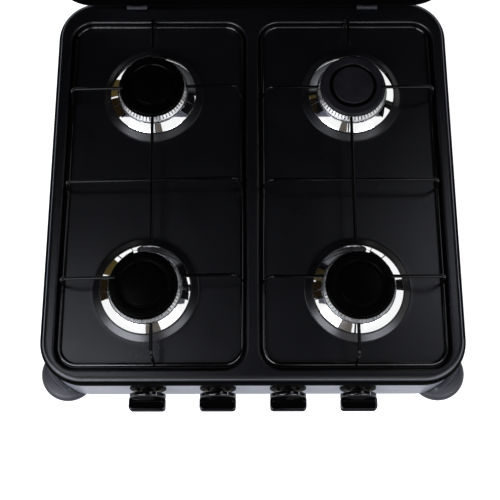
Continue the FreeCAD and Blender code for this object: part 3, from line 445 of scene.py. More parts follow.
def addWell(mesh, side, s):
    # wall, floor and collars of one well; gives back the loop that meets the rim
    floorZ = rimZ - s["wellDepth"]
    wall = [(-s["lip"] - s["lipRun"], rimZ), (0, rimZ, s["lip"]), (s["wellRun"], floorZ, s["root"]),
            (s["wellRun"] + s["rootRun"], floorZ)]
    centre = side * (s["divider"] + s["wellWidth"]) / 2, worktopLow.y + s["wellFront"] + s["wellLength"] / 2
    loops = []
    for inset, z in roundCorners(wall, step=12):
        size = s["wellWidth"] - 2 * inset, s["wellLength"] - 2 * inset
        loops.append(addLoop(mesh, outline(*size, s["wellCorner"] - inset, centre), z))
    for outer, inner in zip(loops, loops[1:]):
        bridge(mesh, outer, inner)
    top = floorZ + s["collarHeight"]
    collar = [(s["collarFoot"] + s["collarRun"], floorZ), (s["collarFoot"], floorZ, s["footRound"]),
              (s["collarTop"], top, s["topRound"]), (s["hole"], top)]
    floor = [loops[-1]]
    for x, y in map(burnerSpot, cornerNames):
        if x * side > 0:
            floor.append(revolve(mesh, roundCorners(collar, step=12), centre=(x, y, 0))[0])
    fillBetween(mesh, *floor)
    return loops[0]


def makeWorktop(s):
    mesh = bmesh.new()
    edge = [(0, worktopLow.z), (0, rimZ, s["edge"]), (s["edge"] + s["edgeRun"], rimZ)]
    loops = []
    for inset, z in roundCorners(edge, step=10):
        size = worktopWidth - 2 * inset, worktopDepth - 2 * inset
        loops.append(addLoop(mesh, outline(*size, s["corner"] - inset, (0, centreY)), z))
    for lower, upper in zip(loops, loops[1:]):
        for face in bridge(mesh, lower, upper):
            isFront = face.calc_center_median().y < worktopLow.y + s["corner"]
            shine = s["edge"] * s["shineFront" if isFront else "shineSide"]
            # below the shine the roll and skirt take the matt enamel, a dark band of painted shade
            face.material_index = upper[0].co.z < rimZ - shine
    fillBetween(mesh, loops[-1], *[addWell(mesh, side, s) for side in sides.values()])
    faceUp(mesh)
    piece = makeObject("worktopSheet", mesh, "blackEnamel", closed=False, extra=["thinEnamel"])
    thicken(piece, s["sheet"])
    settle(piece, "stove", "black_enamel", "worktop")


makeWorktop(worktop)
print("worktop pressed")


# Pan supports: a frame wire in each well and arms bent up over the burners

support = dict(
    frameWire=2.5, armWire=2.0, corner=21.9, bend=8, tip=39.5, stubTip=48, weldSink=1.0, armOffset=7.3,
    legLean=6.5,
    push=1.4,  # how far it was pushed back in its well
    skew={"left": 1.3, "right": 0.0},  # the arms were welded slightly askew, in degrees
)


def makeSupport(name, side, s):
    node = "pan_support_" + name
    low, high = boxOf(node)
    middleX, middleY = (low.x + high.x) / 2, (low.y + high.y) / 2 + s["push"]
    halfX = (high.x - low.x) / 2 - s["frameWire"]
    halfY = (high.y - low.y) / 2 - s["frameWire"]
    frameZ = low.z + s["frameWire"]
    armZ = high.z - s["armWire"]
    burnerYs = sorted(y for x, y in map(burnerSpot, cornerNames) if x * side > 0)
    rowMiddle = sum(burnerYs) / 2
    lean = math.tan(math.radians(s["skew"][name]))
    mesh = bmesh.new()
    frameLine = outline(2 * halfX, 2 * halfY, s["corner"], (middleX, middleY), 10)
    tube(mesh, [(p.x, p.y, frameZ) for p in frameLine], s["frameWire"], closed=True)
    frameFaces = len(mesh.faces)

    def across(x, y, z):
        return x, y + (x - middleX) * lean, z

    def lengthwise(y, z):
        return middleX - (y - middleY) * lean, y, z

    for burnerY in burnerYs:
        along = 1 if burnerY > rowMiddle else -1
        armY = burnerY - along * s["armOffset"]
        for edge in sides.values():
            foot = middleX + edge * halfX
            tip = middleX + edge * s["tip"]
            bend = foot - edge * s["legLean"]
            route = [across(foot, armY, frameZ), across(bend, armY, armZ), across(tip, armY, armZ)]
            tube(mesh, bentPath(route, s["bend"]), s["armWire"])
        foot = middleY + along * halfY
        stub = [lengthwise(foot, frameZ), lengthwise(foot - along * s["legLean"], armZ),
                lengthwise(burnerY + along * s["stubTip"], armZ)]
        tube(mesh, bentPath(stub, s["bend"]), s["armWire"])
    crossZ = armZ - 2 * s["armWire"] + s["weldSink"]
    left, right = middleX - halfX, middleX + halfX
    cross = [(left, frameZ), (left + s["legLean"], crossZ), (right - s["legLean"], crossZ), (right, frameZ)]
    tube(mesh, bentPath([across(x, rowMiddle, z) for x, z in cross], s["bend"]), s["armWire"])
    spine = [lengthwise(burnerYs[0] + s["stubTip"], armZ), lengthwise(burnerYs[1] - s["stubTip"], armZ)]
    tube(mesh, spine, s["armWire"])
    mesh.faces.ensure_lookup_table()
    for face in mesh.faces[frameFaces:]:
        face.material_index = face.material_index or 2  # arms, apart from their cut ends
    piece = makeObject("panSupport_" + name, mesh, "wireEnamel", extra=["thinEnamel", "armEnamel"])
    settle(piece, node, "support_enamel", node)


for name, side in sides.items():
    makeSupport(name, side, support)
print("pan supports bent")


# Copies: node groups that repeat a shape and paint it

def startTree(name, **kinds):
    tree = bpy.data.node_groups.new(name, "GeometryNodeTree")
    tree.interface.new_socket("Shape", in_out="INPUT", socket_type="NodeSocketGeometry")
    names = {}
    for each, kind in {**kinds, "Finish": "Material"}.items():
        socket = tree.interface.new_socket(each, in_out="INPUT", socket_type="NodeSocket" + kind)
        names[each] = socket.identifier
    tree.interface.new_socket("Copies", in_out="OUTPUT", socket_type="NodeSocketGeometry")
    return tree, names, addNode(tree, "NodeGroupInput").outputs


def endTree(tree, given, copies):
    whole = addNode(tree, "GeometryNodeRealizeInstances", {"Geometry": copies.outputs[0]})
    paint = {"Geometry": whole.outputs[0], "Material": given["Finish"]}
    painted = addNode(tree, "GeometryNodeSetMaterial", paint)
    addNode(tree, "NodeGroupOutput", {"Copies": painted.outputs[0]})


def ringTree():
    # copies of the incoming shape stand round a circle, each turned to face outwards
    tree, names, given = startTree("copiesRoundCircle", Count="Int", Radius="Float")
    circle = addNode(tree, "GeometryNodeMeshCircle", {"Vertices": given["Count"], "Radius": given["Radius"]})
    spot = {"Vector": addNode(tree, "GeometryNodeInputPosition").outputs[0]}
    facing = addNode(tree, "FunctionNodeAlignRotationToVector", spot, axis="X", pivot_axis="Z")
    copies = addNode(tree, "GeometryNodeInstanceOnPoints", {
        "Points": circle.outputs[0], "Instance": given["Shape"], "Rotation": facing.outputs[0]})
    endTree(tree, given, copies)
    return tree, names


def rowTree():
    # copies of the incoming shape stand in pairs a short gap apart, and the pairs a long pitch apart
    tree, names, given = startTree("copiesInPairs", Pairs="Int", Pitch="Vector", Gap="Vector")
    copies = given["Shape"]
    for count, offset in ((2, given["Gap"]), (given["Pairs"], given["Pitch"])):
        line = addNode(tree, "GeometryNodeMeshLine", {"Count": count, "Offset": offset})
        stand = {"Points": line.outputs[0], "Instance": copies}
        row = addNode(tree, "GeometryNodeInstanceOnPoints", stand)
        copies = row.outputs[0]
    endTree(tree, given, row)
    return tree, names


def runTree(piece, tree, names, finish, **values):
    modifier = piece.modifiers.new(tree.name, "NODES")
    modifier.node_group = tree
    for name, value in values.items():
        modifier[names[name]] = value
    modifier[names["Finish"]] = materials[finish]
    return bake(piece)


# Burners: slotted crown, black cap and polished ring

crown = dict(radius=43, top=38.4, height=10, band=4.8, bore=33, spigot=36.7, spigotDepth=5, round=0.6,
             slotDepth=4, slotWidth=1.0, teeth=60, toothBevel=0.25)


def crownRadius(z, s):
    # of the cone above the band
    lean = (s["radius"] - s["top"]) / (s["height"] - s["band"])
    return s["radius"] - lean * (z - s["band"])


def makeToothRing(s):
    # one bevelled tooth, repeated round the crown's edge
    low = s["height"] - s["slotDepth"]
    pitch = 2 * math.pi / s["teeth"]
    mesh = bmesh.new()
    section = [(s["bore"], low), (crownRadius(low, s), low), (s["top"], s["height"]),
               (s["bore"], s["height"])]
    flanks = []
    for side in (-1, 1):
        flank = []
        for radius, z in section:
            half = math.sin(pitch / 2) * radius - s["slotWidth"] / 2
            flank.append(mesh.verts.new((math.sqrt(radius**2 - half**2), side * half, z)))
        mesh.faces.new(flank)
        flanks.append(flank)
    bridge(mesh, *flanks)
    rims = [mesh.edges.get((flank[k], flank[k + 1])) for flank in flanks for k in (1, 2)]
    bmesh.ops.bevel(mesh, geom=rims, offset=s["toothBevel"], segments=1, affect="EDGES")
    piece = makeObject("crownTeeth", mesh, "castAluminium")
    tree, names = ringTree()
    # the tooth already stands at its radius, so the circle only gives directions
    return runTree(piece, tree, names, "castAluminium", Count=s["teeth"], Radius=tiny)


def makeCrown(name, x, y, teeth, s):
    low = boxOf("burner_crown_" + name)[1].z - s["height"]
    slotFloor = s["height"] - s["slotDepth"]
    wall = [(s["bore"], -s["spigotDepth"]), (s["spigot"], -s["spigotDepth"]), (s["spigot"], 0),
            (s["radius"], 0, s["round"]), (s["radius"], s["band"], s["round"]),
            (crownRadius(slotFloor, s), slotFloor), (s["bore"], slotFloor)]
    mesh = bmesh.new()
    closedRevolve(mesh, roundCorners(wall))
    body = makeObject("crownWall", mesh, "castAluminium")
    data = join("burnerCrown_" + name, [body, teeth])
    data.transform(Matrix.Translation(Vector((x, y, low)) * metre))
    data.materials.append(materials["castAluminium"])
    bpy.data.objects.remove(body)
    settle(addObject("burnerCrown_" + name, data), "stove", "cast_aluminium", "burner_crown_" + name)


cap = dict(radius=40.6, height=9.4, rim=1.2, edge=5, bevel=2.5, step=1.4, disc=24.6, groove=3.8,
           grooveDepth=1.2, spigot=32.7, spigotDepth=3, footRound=0.4, rimRound=0.6, bevelRound=1.6,
           lipRound=0.7, grooveRound=0.3, discRound=1.1, soot=0.6, finish=dict(rear_right="capDusk"))


def makeCap(name, x, y, s):
    node = "burner_cap_" + name
    low = boxOf(node)[1].z - s["height"]
    rimTop = s["height"] - s["step"]
    grooveFloor = rimTop - s["grooveDepth"]
    outer = s["disc"] + s["groove"]
    profile = [(0, -s["spigotDepth"]), (s["spigot"], -s["spigotDepth"]), (s["spigot"], 0),
               (s["radius"] - s["bevel"], 0, s["footRound"]),
               (s["radius"], s["edge"] - s["rim"], s["footRound"]), (s["radius"], s["edge"], s["rimRound"]),
               (s["radius"] - s["bevel"], rimTop, s["bevelRound"]),
               (outer + s["grooveDepth"], rimTop, s["lipRound"]), (outer, grooveFloor, s["grooveRound"]),
               (s["disc"] + s["grooveDepth"], grooveFloor, s["grooveRound"]),
               (s["disc"], s["height"], s["discRound"]), (0, s["height"])]
    mesh = bmesh.new()
    revolve(mesh, roundCorners(profile), centre=(x, y, low))
    for face in mesh.faces:
        spot = face.calc_center_median() - Vector((x, y, low))
        inGroove = s["disc"] + s["soot"] < spot.xy.length < outer + s["soot"]
        face.material_index = inGroove and s["edge"] < spot.z < rimTop  # the groove keeps the darker black, as painted shade
    piece = makeObject("burnerCap_" + name, mesh, s["finish"].get(name, "capEnamel"), extra=["capEnamel"])
    settle(piece, node, "cap_enamel", node)


ring = dict(radius=53.6, inner=43.6, rise=7.2, sheet=0.8, hem=3.0, edgeRound=0.35, topRound=0.3,
            innerRound=0.2)


def makeRing(name, x, y, s):
    node = "burner_ring_" + name
    cone = [(s["radius"] - s["hem"], 0), (s["radius"], 0, s["edgeRound"]),
            (s["radius"], s["sheet"], s["edgeRound"]),
            (s["inner"] + s["sheet"] / 2, s["rise"], s["topRound"]),
            (s["inner"], s["rise"] - s["sheet"] / 2, s["innerRound"]),
            (s["radius"] - s["sheet"], s["sheet"]), (s["radius"] - s["hem"], s["sheet"])]
    mesh = bmesh.new()
    closedRevolve(mesh, roundCorners(cone, closed=True), 120, (x, y, boxOf(node)[0].z))
    settle(makeObject("burnerRing_" + name, mesh, "chromePlate"), "stove", "chrome_plate", node)


teeth = makeToothRing(crown)
for name in cornerNames:
    spot = burnerSpot(name)
    makeCrown(name, *spot, teeth, crown)
    makeCap(name, *spot, cap)
    makeRing(name, *spot, ring)
bpy.data.objects.remove(teeth)
print("burners turned")


# Body: flared front panel and the shell behind it

outward = Vector(joints["knob_1_turn"]["axis"]).normalized()
upward = Vector((1, 0, 0)).cross(outward) * -1  # along the panel, towards the worktop
slope = math.asin(outward.z)
band = dict(sheet=0.8, lap=14, hem=1.6, corner=52, cornerSteps=20, spindleHole=7.0, spindleReach=12,
            inletHole=13.0, inletReach=40)
bandLow, bandHigh = boxOf("front_panel")
bandFoot = bandLow.z
bandFlare = bandHigh.x - worktopHigh.x


def bandOutline(z, grow, steps):
    # the body's outline at a height, grown outwards by a distance
    spread = bandFlare - (z - bandFoot) * math.tan(slope) + grow
    size = worktopWidth + 2 * spread, worktopDepth + 2 * spread
    return outline(*size, band["corner"] + spread, (0, centreY), steps)


def plugs(spots, axis, radius, reach):
    # round plugs that cut holes
    mesh = bmesh.new()
    turned = Vector((0, 0, 1)).rotation_difference(axis).to_matrix().to_4x4()
    for spot in spots:
        bmesh.ops.create_cone(mesh, cap_ends=True, segments=32, radius1=radius, radius2=radius, depth=reach,
                              matrix=Matrix.Translation(spot) @ turned)
    return makeObject("plugs", mesh, "silverPaint")


def makeBand(name, isFront, node, s):
    low, high = boxOf(node)
    mesh = bmesh.new()
    path = [(s["lap"], low.z), (0, low.z, s["hem"]), (0, high.z)]
    quarter = s["cornerSteps"] + 1
    rows = []
    for inset, z in roundCorners(path, step=18):
        points = bandOutline(z, -inset, s["cornerSteps"])
        chosen = points[3 * quarter :] + points[:quarter] if isFront else points[quarter : 3 * quarter]
        first, last = [Vector((p.x, bandHigh.y)) for p in (chosen[0], chosen[-1])]
        rows.append(addLoop(mesh, [first, *chosen, last], z))
    for lower, upper in zip(rows, rows[1:]):
        bridge(mesh, lower, upper, closed=False)
    piece = makeObject(name, mesh, "silverPaint", closed=False)
    return thicken(piece, s["sheet"])


knobSpots = [Vector(joints["knob_%d_turn" % number]["pos_m"]) / metre for number in range(1, 5)]
panel = makeBand("frontPanelSheet", True, "front_panel", band)
cutAway(panel, plugs(knobSpots, outward, band["spindleHole"], band["spindleReach"]))
settle(panel, "stove", "silver_paint", "front_panel")
shell = makeBand("bodyShellSheet", False, "body_shell", band)
inlet = middleOf("gas_inlet")
inlet.y = boxOf("body_shell")[1].y
cutAway(shell, plugs([inlet], Vector((0, 1, 0)), band["inletHole"], band["inletReach"]))
settle(shell, "stove", "silver_paint", "body_shell")
print("body folded")


# Knobs: domed skirt and a bar grip with a sunk field, over a thin bezel with two screws

knob = dict(radius=21.7, gap=8, skirt=5.3, edge=2.6, backRound=0.5, dome=2.3, domeRound=12, reach=27.3,
            thick=13, corner=4.5, round=1.5, endRound=1.8, arcSteps=6, border=2.6,
            fieldGap=0.3, fieldCorner=2.0, fieldSlope=0.4, inset=0.8, endFacing=0.6,
            markAngle=34, markWidth=1.2, markLength=3.6, markStart=0.7, markLift=0.06, markDepth=0.5)


def onPanel(spot):
    # local X along the front, Y up the panel, Z out of it
    axes = Matrix((Vector((1, 0, 0)), upward, outward)).transposed().to_4x4()
    return Matrix.Translation(spot) @ axes


def makeGrip(s):
    # stacked rounded outlines across the bar's thickness; local Z is the knob's axis
    low = s["gap"] + s["skirt"] / 2
    tall = s["reach"] - low
    middle = low + tall / 2
    half = s["thick"] / 2
    loops = []
    for k in range(s["arcSteps"] + 1):
        y = half - s["endRound"] * (1 - math.sin(k * math.pi / (2 * s["arcSteps"])))
        side, end = [r - math.sqrt(r**2 - max(0, y - half + r) ** 2) for r in (s["round"], s["endRound"])]
        size = 2 * s["radius"] - 2 * side, tall - side - end, s["corner"] - side
        loops.append((*size, middle + (side - end) / 2, y if k else 0))
    fieldLow = s["gap"] + s["skirt"] + s["dome"] + s["border"] / 2
    fieldHigh = s["reach"] - s["endRound"] - s["fieldGap"]
    for shrink, sink in ((0, 0), (s["fieldSlope"], s["inset"])):
        width = 2 * (s["radius"] - s["border"] - shrink)
        size = width, fieldHigh - fieldLow - 2 * shrink, s["fieldCorner"] - shrink
        loops.append((*size, (fieldLow + fieldHigh) / 2, half - sink))
    mesh = bmesh.new()
    rings = []
    for side in (-1, 1):
        for width, height, corner, level, y in loops:
            points = outline(width, height, corner, (0, level), s["arcSteps"])
            rings.append([mesh.verts.new((p.x, side * y, p.y)) for p in points])
    ordered = rings[: len(loops)][::-1] + rings[len(loops) + 1 :]
    for lower, upper in zip(ordered, ordered[1:]):
        bridge(mesh, lower, upper)
    mesh.faces.new(ordered[0])
    mesh.faces.new(ordered[-1])
    return makeObject("grip", mesh, "knobPlastic")


def makeMark(s, parts=4):
    # printed tick over the skirt's edge
    mesh = bmesh.new()
    radius = s["radius"] + s["markLift"]
    inner = radius - s["markDepth"]
    half = s["markWidth"] / s["radius"] / 2
    start = math.radians(90 - s["markAngle"])
    low = s["gap"] + s["markStart"]
    high = low + s["markLength"]
    ladder = []
    for k in range(parts + 1):
        angle = start - half + 2 * half * k / parts
        column = []
        for reach, z in ((radius, low), (radius, high), (inner, high), (inner, low)):
            column.append(mesh.verts.new((reach * math.cos(angle), reach * math.sin(angle), z)))
        ladder.append(column)
    for left, right in zip(ladder, ladder[1:]):
        bridge(mesh, left, right)
    mesh.faces.new(ladder[0])
    mesh.faces.new(ladder[-1])
    return makeObject("mark", mesh, "whiteInk")


def makeKnobs(s):
    front = s["gap"] + s["skirt"]
    wall = [(0, s["gap"]), (s["radius"], s["gap"], s["backRound"]), (s["radius"], front, s["edge"]),
            (s["thick"] / 2, front + s["dome"], s["domeRound"]), (0, front + s["dome"])]
    mesh = bmesh.new()
    revolve(mesh, roundCorners(wall, step=8))
    shape = makeObject("knobShape", mesh, "knobPlastic")
    cutAway(shape, makeGrip(s), "UNION", 28)
    mark = makeMark(s)
    for number, spot in enumerate(knobSpots, 1):
        mesh = bmesh.new()
        mesh.from_mesh(shape.data)
        plain = len(mesh.faces)
        mesh.from_mesh(mark.data)
        mesh.faces.ensure_lookup_table()
        for face in mesh.faces[plain:]:
            face.material_index = 1
        for face in mesh.faces[:plain]:
            isEnd = face.calc_center_median().z > (s["reach"] - s["border"]) * metre
            if isEnd and face.normal.z > s["endFacing"]:
                face.material_index = 2  # the grip's end is left matt and dark, as painted shade
        mesh.transform(Matrix.Scale(1 / metre, 4))
        name = "knob_%d" % number
        piece = makeObject("turnKnob_%d" % number, mesh, "knobPlastic", onPanel(spot), closed=False,
                           limit=28, extra=["whiteInk", "bezelPlastic"])
        settle(piece, name, "knob_plastic", name)
    for spare in (shape, mark):
        bpy.data.objects.remove(spare)


bezel = dict(radius=21.7, thick=2, hole=7, edge=1.2, holeRound=0.5)


def makeBezels(s):
    wall = [(s["hole"], 0), (s["radius"], 0), (s["radius"], s["thick"], s["edge"]),
            (s["hole"], s["thick"], s["holeRound"])]
    for number, spot in enumerate(knobSpots, 1):
        mesh = bmesh.new()
        closedRevolve(mesh, roundCorners(wall, closed=True, step=18))
        piece = makeObject("knobBezel_%d" % number, mesh, "bezelPlastic", onPanel(spot))
        settle(piece, "stove", "bezel_plastic", "knob_bezel_%d" % number)


screw = dict(radius=3.2, height=1.9, round=1.2, slotWidth=0.9, slotDepth=0.9, slotTurn=0.5, spread=24.6)


def makeBezelScrews(s):
    # one slotted pan head, copied in pairs along the panel
    mesh = bmesh.new()
    head = [(0, 0), (s["radius"], 0), (s["radius"], s["height"], s["round"]), (0, s["height"])]
    revolve(mesh, roundCorners(head, step=18), 32)
    piece = makeObject("panelScrews", mesh, "turnedBrass")
    slot = bmesh.new()
    bmesh.ops.create_cube(slot, size=1)
    size = Matrix.Diagonal((4 * s["radius"], s["slotWidth"], 2 * s["slotDepth"], 1))
    slot.transform(Matrix.Translation((0, 0, s["height"])) @ Matrix.Rotation(s["slotTurn"], 4, "Z") @ size)
    cutAway(piece, makeObject("slot", slot, "turnedBrass"))
    place = onPanel(knobSpots[0] + outward * bezel["thick"] - Vector((s["spread"] / 2, 0, 0)))
    place.translation *= metre
    piece.data.transform(place)
    pitch = (knobSpots[1] - knobSpots[0]) * metre
    tree, names = rowTree()
    gap = (s["spread"] * metre, 0, 0)
    runTree(piece, tree, names, "turnedBrass", Pairs=len(knobSpots), Pitch=pitch, Gap=gap)
    settle(piece, "stove", "tap_brass", "bezel_screws")


makeKnobs(knob)
makeBezels(bezel)
makeBezelScrews(screw)
print("knobs moulded")


# Feet: round bells, each with a lip that climbs round the body's corner

foot = dict(radius=34, base=30, baseRound=1.0, beltLow=5, lowRound=4.0, beltHigh=10.5, highRound=4.5,
            shoulder=30, shoulderZ=14.6, shoulderRound=9, shelfRadius=20, shelf=17, shelfRound=6,
            recess=6, headHole=4.44, shankHole=2.5, gap=1.1, sink=2,
            lip=3.5, lipThin=0.4, lipSpan=31, lipRun=14, lipFoot=9, lipRoot=4, lipRound=1.2, lipFlare=0.6,
            lipTilt=0.01, clear=3)


def makeLip(middle, top, s):
    # follows the body's corner and runs out into the bell at both ends
    mesh = bmesh.new()
    reach = s["lipSpan"] + 1
    sections = []
    for p in bandOutline(bandFoot, s["gap"] - s["sink"], 48):
        if (p - middle).length >= reach:
            continue
        pivot = Vector((math.copysign(worktopHigh.x - band["corner"], p.x),
                        centreY + math.copysign(worktopDepth / 2 - band["corner"], p.y - centreY)))
        away = (p - pivot).normalized()
        share = min(1, max(0, (reach - (p - middle).length) / s["lipRun"]))
        rise = 3 * share**2 - 2 * share**3
        crest = s["lipFoot"] + (top - s["lipFoot"]) * rise
        thick = s["sink"] + s["lip"] * (s["lipThin"] + (1 - s["lipThin"]) * rise)
        profile = roundCorners([(0, s["lipRoot"]), (0, crest + s["lipTilt"]), (thick, crest, s["lipRound"]),
                                (thick + s["lipFlare"], s["lipRoot"])])
        sections.append([mesh.verts.new((p.x + away.x * d, p.y + away.y * d, z)) for d, z in profile])
    for one, other in zip(sections, sections[1:]):
        bridge(mesh, one, other)
    mesh.faces.new(sections[0])
    mesh.faces.new(sections[-1])
    return makeObject("lip", mesh, "footPlastic")


def makeFoot(name, s):
    node = "foot_" + name
    middle = middleOf(node).xy
    top = boxOf(node)[1].z
    bell = [(s["shankHole"], s["recess"]), (s["headHole"], s["recess"]), (s["headHole"], 0),
            (s["base"], 0, s["baseRound"]), (s["radius"], s["beltLow"], s["lowRound"]),
            (s["radius"], s["beltHigh"], s["highRound"]), (s["shoulder"], s["shoulderZ"], s["shoulderRound"]),
            (s["shelfRadius"], s["shelf"], s["shelfRound"]), (s["shankHole"], s["shelf"])]
    mesh = bmesh.new()
    closedRevolve(mesh, roundCorners(bell, closed=True, step=12), centre=(middle.x, middle.y, 0))
    piece = makeObject("cornerFoot_" + name, mesh, "footPlastic")
    cutAway(piece, makeLip(middle, top, s), "UNION")
    corner = bmesh.new()
    loops = [addLoop(corner, bandOutline(z, s["gap"], 24), z) for z in (bandFoot, top + s["clear"])]
    bridge(corner, *loops)
    for loop in loops:
        corner.faces.new(loop)
    cutAway(piece, makeObject("corner", corner, "footPlastic"), limit=35)
    settle(piece, "stove", "foot_plastic", node)


for name in cornerNames:
    makeFoot(name, foot)
print("feet moulded")


# Lid: pressed shut over the hinge axis, then turned to where the CAD stands it open

lid = dict(depth=473.6, corner=34, height=38, edge=7, fieldInset=45, fieldRise=3, fieldRound=2, fieldRun=12,
           fieldMargin=3, sheet=0.8, rim=-2.3, barrel=2.5, rearGap=3.8)


def makeLid(s):
    hinge = Vector(joints["lid_hinge"]["pos_m"]) / metre
    angle = math.radians(joints["lid_hinge"]["range_deg"][0])
    low, high = boxOf("lid")
    width = high.x - low.x
    middle = (0, -s["barrel"] - s["depth"] / 2)
    top = s["rim"] + s["height"]
    fieldTop = top + s["fieldRise"]
    wall = [(0, s["rim"]), (0, top, s["edge"]), (s["fieldInset"], top, s["fieldRound"]),
            (s["fieldInset"] + s["fieldRise"], fieldTop, s["fieldRound"]),
            (s["fieldInset"] + s["fieldRun"], fieldTop)]
    mesh = bmesh.new()
    loops = []
    for inset, z in roundCorners(wall, step=10):
        corner = s["corner"] - min(inset, s["edge"])
        if inset > s["fieldInset"] - s["fieldMargin"]:
            corner = s["corner"] - (inset - s["fieldInset"])
        loops.append(addLoop(mesh, outline(width - 2 * inset, s["depth"] - 2 * inset, corner, middle, 20), z))
    for outer, inner in zip(loops, loops[1:]):
        bridge(mesh, outer, inner)
    mesh.faces.new(loops[-1])
    faceUp(mesh)
    piece = makeObject("lidSheet", mesh, "lidEnamel", closed=False)
    thicken(piece, s["sheet"])
    # the rear wall is cut shorter, so that it clears the knuckles
    rear = bmesh.new()
    size = Matrix.Diagonal((2 * width, 2 * s["corner"], 2 * s["rearGap"], 1))
    bmesh.ops.create_cube(rear, size=1, matrix=Matrix.Translation((0, -s["barrel"], s["rim"])) @ size)
    cutAway(piece, makeObject("rearCut", rear, "lidEnamel"))
    piece.data.transform(Matrix.Translation(hinge * metre) @ Matrix.Rotation(angle, 4, "X"))
    settle(piece, "lid", "black_enamel", "lid")


makeLid(lid)
print("lid pressed")


# Other nodes keep their CAD shape, merged so that their curves shade smoothly

def smoothCopy(node, finish, body, slot):
    mesh = bmesh.new()
    mesh.from_mesh(nodes[node].data)
    bmesh.ops.remove_doubles(mesh, verts=mesh.verts, dist=tiny)
    smoothByAngle(mesh, 30)
    data = bpy.data.meshes.new("smooth_" + node)
    mesh.to_mesh(data)
    mesh.free()
    data.materials.clear()
    data.materials.append(materials[finish])
    settle(addObject("smooth_" + node, data), body, slot, node)


slotFinish = dict(black_enamel="blackEnamel", silver_paint="silverPaint", cast_aluminium="castAluminium",
                  cap_enamel="capEnamel", chrome_plate="chromePlate", support_enamel="wireEnamel",
                  tap_brass="turnedBrass", bezel_plastic="bezelPlastic", knob_plastic="knobPlastic",
                  foot_plastic="footPlastic", zinc_steel="zincSteel", hinge_steel="hingePaint",
                  pipe_aluminium="drawnAluminium")
slotOf = {part["node"]: part["material_slot"] for part in frame["record"]["subparts"]}
for name, node in nodes.items():
    if not node.hide_render:
        smoothCopy(name, slotFinish[slotOf[name]], node["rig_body"], slotOf[name])
print("remaining nodes smoothed")


# Floor

floor = dict(size=6.0, colour="#e2e2e2", rough=0.9, glow=0.85, mirrorGlow=0.25)


def combine(tree, operation, first, second):
    return addNode(tree, "ShaderNodeMath", {0: first, 1: second}, operation=operation).outputs[0]


def seenRays(tree):
    # 1 where the camera, or a mirror or glass, looks at the background
    path = addNode(tree, "ShaderNodeLightPath").outputs
    mirror = combine(tree, "MAXIMUM", path["Is Glossy Ray"], path["Is Transmission Ray"])
    return combine(tree, "MAXIMUM", path["Is Camera Ray"], mirror)


def mattSheet(name, colour, rough):
    material = bpy.data.materials.new(name)
    materials[name] = material
    material.use_nodes = True
    shader = material.node_tree.nodes["Principled BSDF"]
    shader.inputs["Base Color"].default_value = linear(colour)
    shader.inputs["Roughness"].default_value = rough
    shader.inputs["Specular IOR Level"].default_value = 0.0
    return material.node_tree, shader


def makeFloor(s):
    mesh = bmesh.new()
    bmesh.ops.create_grid(mesh, x_segments=1, y_segments=1, size=s["size"] / metre)
    tree, shader = mattSheet("floorPaper", s["colour"], s["rough"])  # white seamless paper
    shader.inputs["Emission Color"].default_value = (1, 1, 1, 1)
    seen = addNode(tree, "ShaderNodeLightPath").outputs["Is Camera Ray"]
    extra = combine(tree, "MULTIPLY", seen, s["glow"] - s["mirrorGlow"])
    rest = combine(tree, "MULTIPLY", seenRays(tree), s["mirrorGlow"])
    tree.links.new(combine(tree, "ADD", extra, rest), shader.inputs["Emission Strength"])
    piece = makeObject("floorSheet", mesh, "floorPaper", closed=False)


makeFloor(floor)


# Studio: an even white room, soft boxes in front and above, and flags that only reflections see

studio = dict(fill=0.2, lampColour=(0.87, 0.89, 1.0))  # cool daylight tubes
flags = {
    # name: centre and size in metres, the axis it faces, colour
    "ceilingFlag": ((0, 2.35, 2.3), (8.0, 5.3), "Z", "#101012"),
    "ceilingStrip": ((0, -0.65, 2.3), (8.0, 0.7), "Z", "#8a8c96"),
    "leftFlagHigh": ((-1.5, 0.5, 1.4), (1.6, 1.3), "X", "#101012"),
    "leftFlagFar": ((-1.5, 2.1, 1.4), (2.4, 1.8), "X", "#101012"),
    "rightFlagHigh": ((1.5, 0.5, 1.4), (1.6, 1.3), "X", "#101012"),
    "rightFlagFar": ((1.5, 2.1, 1.4), (2.4, 1.8), "X", "#101012"),
    "leftFlag": ((-1.5, 0.15, 0.6), (0.75, 1.2), "X", "#2a2012"),
    "leftFlagBack": ((-1.5, 0.95, 0.6), (0.75, 1.2), "X", "#6b5c34"),
    "rightFlag": ((1.5, 0.25, 0.6), (0.3, 1.2), "X", "#141414"),
    "lowFrontFlag": ((0, -2.4, 0.35), (5.0, 0.7), "Y", "#101012"),
    "frontFlag": ((-0.05, -0.7, 0.8), (0.24, 1.6), "Y", "#9c9284"),
}
lamps = {
    "softboxFrontLeft": dict(spot=(-1.35, -1.75, 1.6), target=(0, 0, 0.05), size=(2.0, 0.7), power=54),
    "softboxFrontRight": dict(spot=(1.35, -1.75, 1.6), target=(0, 0, 0.05), size=(1.6, 0.6), power=23),
    "softboxLeft": dict(spot=(-0.75, -0.1, 2.1), target=(-0.1, -0.1, 0.05), size=(0.6, 0.6), power=3.7),
    "softboxRight": dict(spot=(0.95, 0.35, 2.1), target=(0.1, -0.1, 0.05), size=(0.6, 0.6), power=2.2),
}


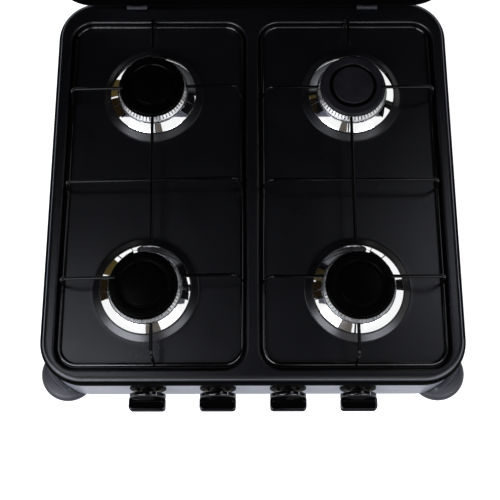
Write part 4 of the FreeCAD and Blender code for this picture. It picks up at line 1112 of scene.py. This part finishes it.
def makeWorld(s):
    world = bpy.data.worlds.new("studio")
    scene.world = world
    world.use_nodes = True
    world.cycles.sampling_method = "NONE"
    tree = world.node_tree
    levels = {"Value": seenRays(tree), "To Min": s["fill"], "To Max": 1.0}
    level = addNode(tree, "ShaderNodeMapRange", levels)
    tree.nodes["Background"].inputs["Color"].default_value = (1, 1, 1, 1)
    tree.links.new(level.outputs["Result"], tree.nodes["Background"].inputs["Strength"])


quarterTurn = math.pi / 2
flagTurns = {
    "X": Matrix.Rotation(quarterTurn, 4, "Y") @ Matrix.Rotation(quarterTurn, 4, "Z"),
    "Y": Matrix.Rotation(quarterTurn, 4, "X"),
    "Z": Matrix(),
}


def makeFlag(name, centre, size, facing, colour):
    mesh = bmesh.new()
    bmesh.ops.create_grid(mesh, x_segments=1, y_segments=1, size=0.5)
    spread = Matrix.Diagonal((size[0] / metre, size[1] / metre, 1, 1))
    place = Matrix.Translation(Vector(centre) / metre) @ flagTurns[facing] @ spread
    mattSheet(name + "Cloth", colour, 1.0)  # dyed cloth on a frame, matt
    piece = makeObject(name, mesh, name + "Cloth", place, closed=False)
    piece.visible_camera = False
    piece.visible_diffuse = False
    piece.visible_shadow = False


def addLamp(name, spot, target, size, power):
    light = bpy.data.lights.new(name, "AREA")
    light.shape = "RECTANGLE"
    light.size, light.size_y = size
    light.energy = power
    light.color = studio["lampColour"]
    lamp = addObject(name, light)
    lamp.location = spot
    lamp.rotation_euler = (Vector(target) - Vector(spot)).to_track_quat("-Z", "Y").to_euler()


makeWorld(studio)
for name, settings in flags.items():
    makeFlag(name, *settings)
for name, settings in lamps.items():
    addLamp(name, **settings)


# Camera, as fitted to the photograph

view = dict(focalPixels=823.0, frame=500, sensor=36, pitch=74.98, roll=-0.11, x=-3.27, back=344.33,
            height=952.17)
camera = bpy.data.cameras.new("camera")
camera.sensor_width = view["sensor"]
camera.lens = view["focalPixels"] / view["frame"] * camera.sensor_width
eye = addObject("camera", camera)
roll = Matrix.Rotation(math.radians(view["roll"]), 4, "Z")
tilt = Matrix.Rotation(math.radians(90 - view["pitch"]), 4, "X") @ roll
spot = Vector((view["x"], centreY - view["back"], rimZ + view["height"])) * metre
eye.matrix_world = Matrix.Translation(spot) @ tilt
scene.camera = eye

scene.view_settings.view_transform = "Standard"
print("scene ready")
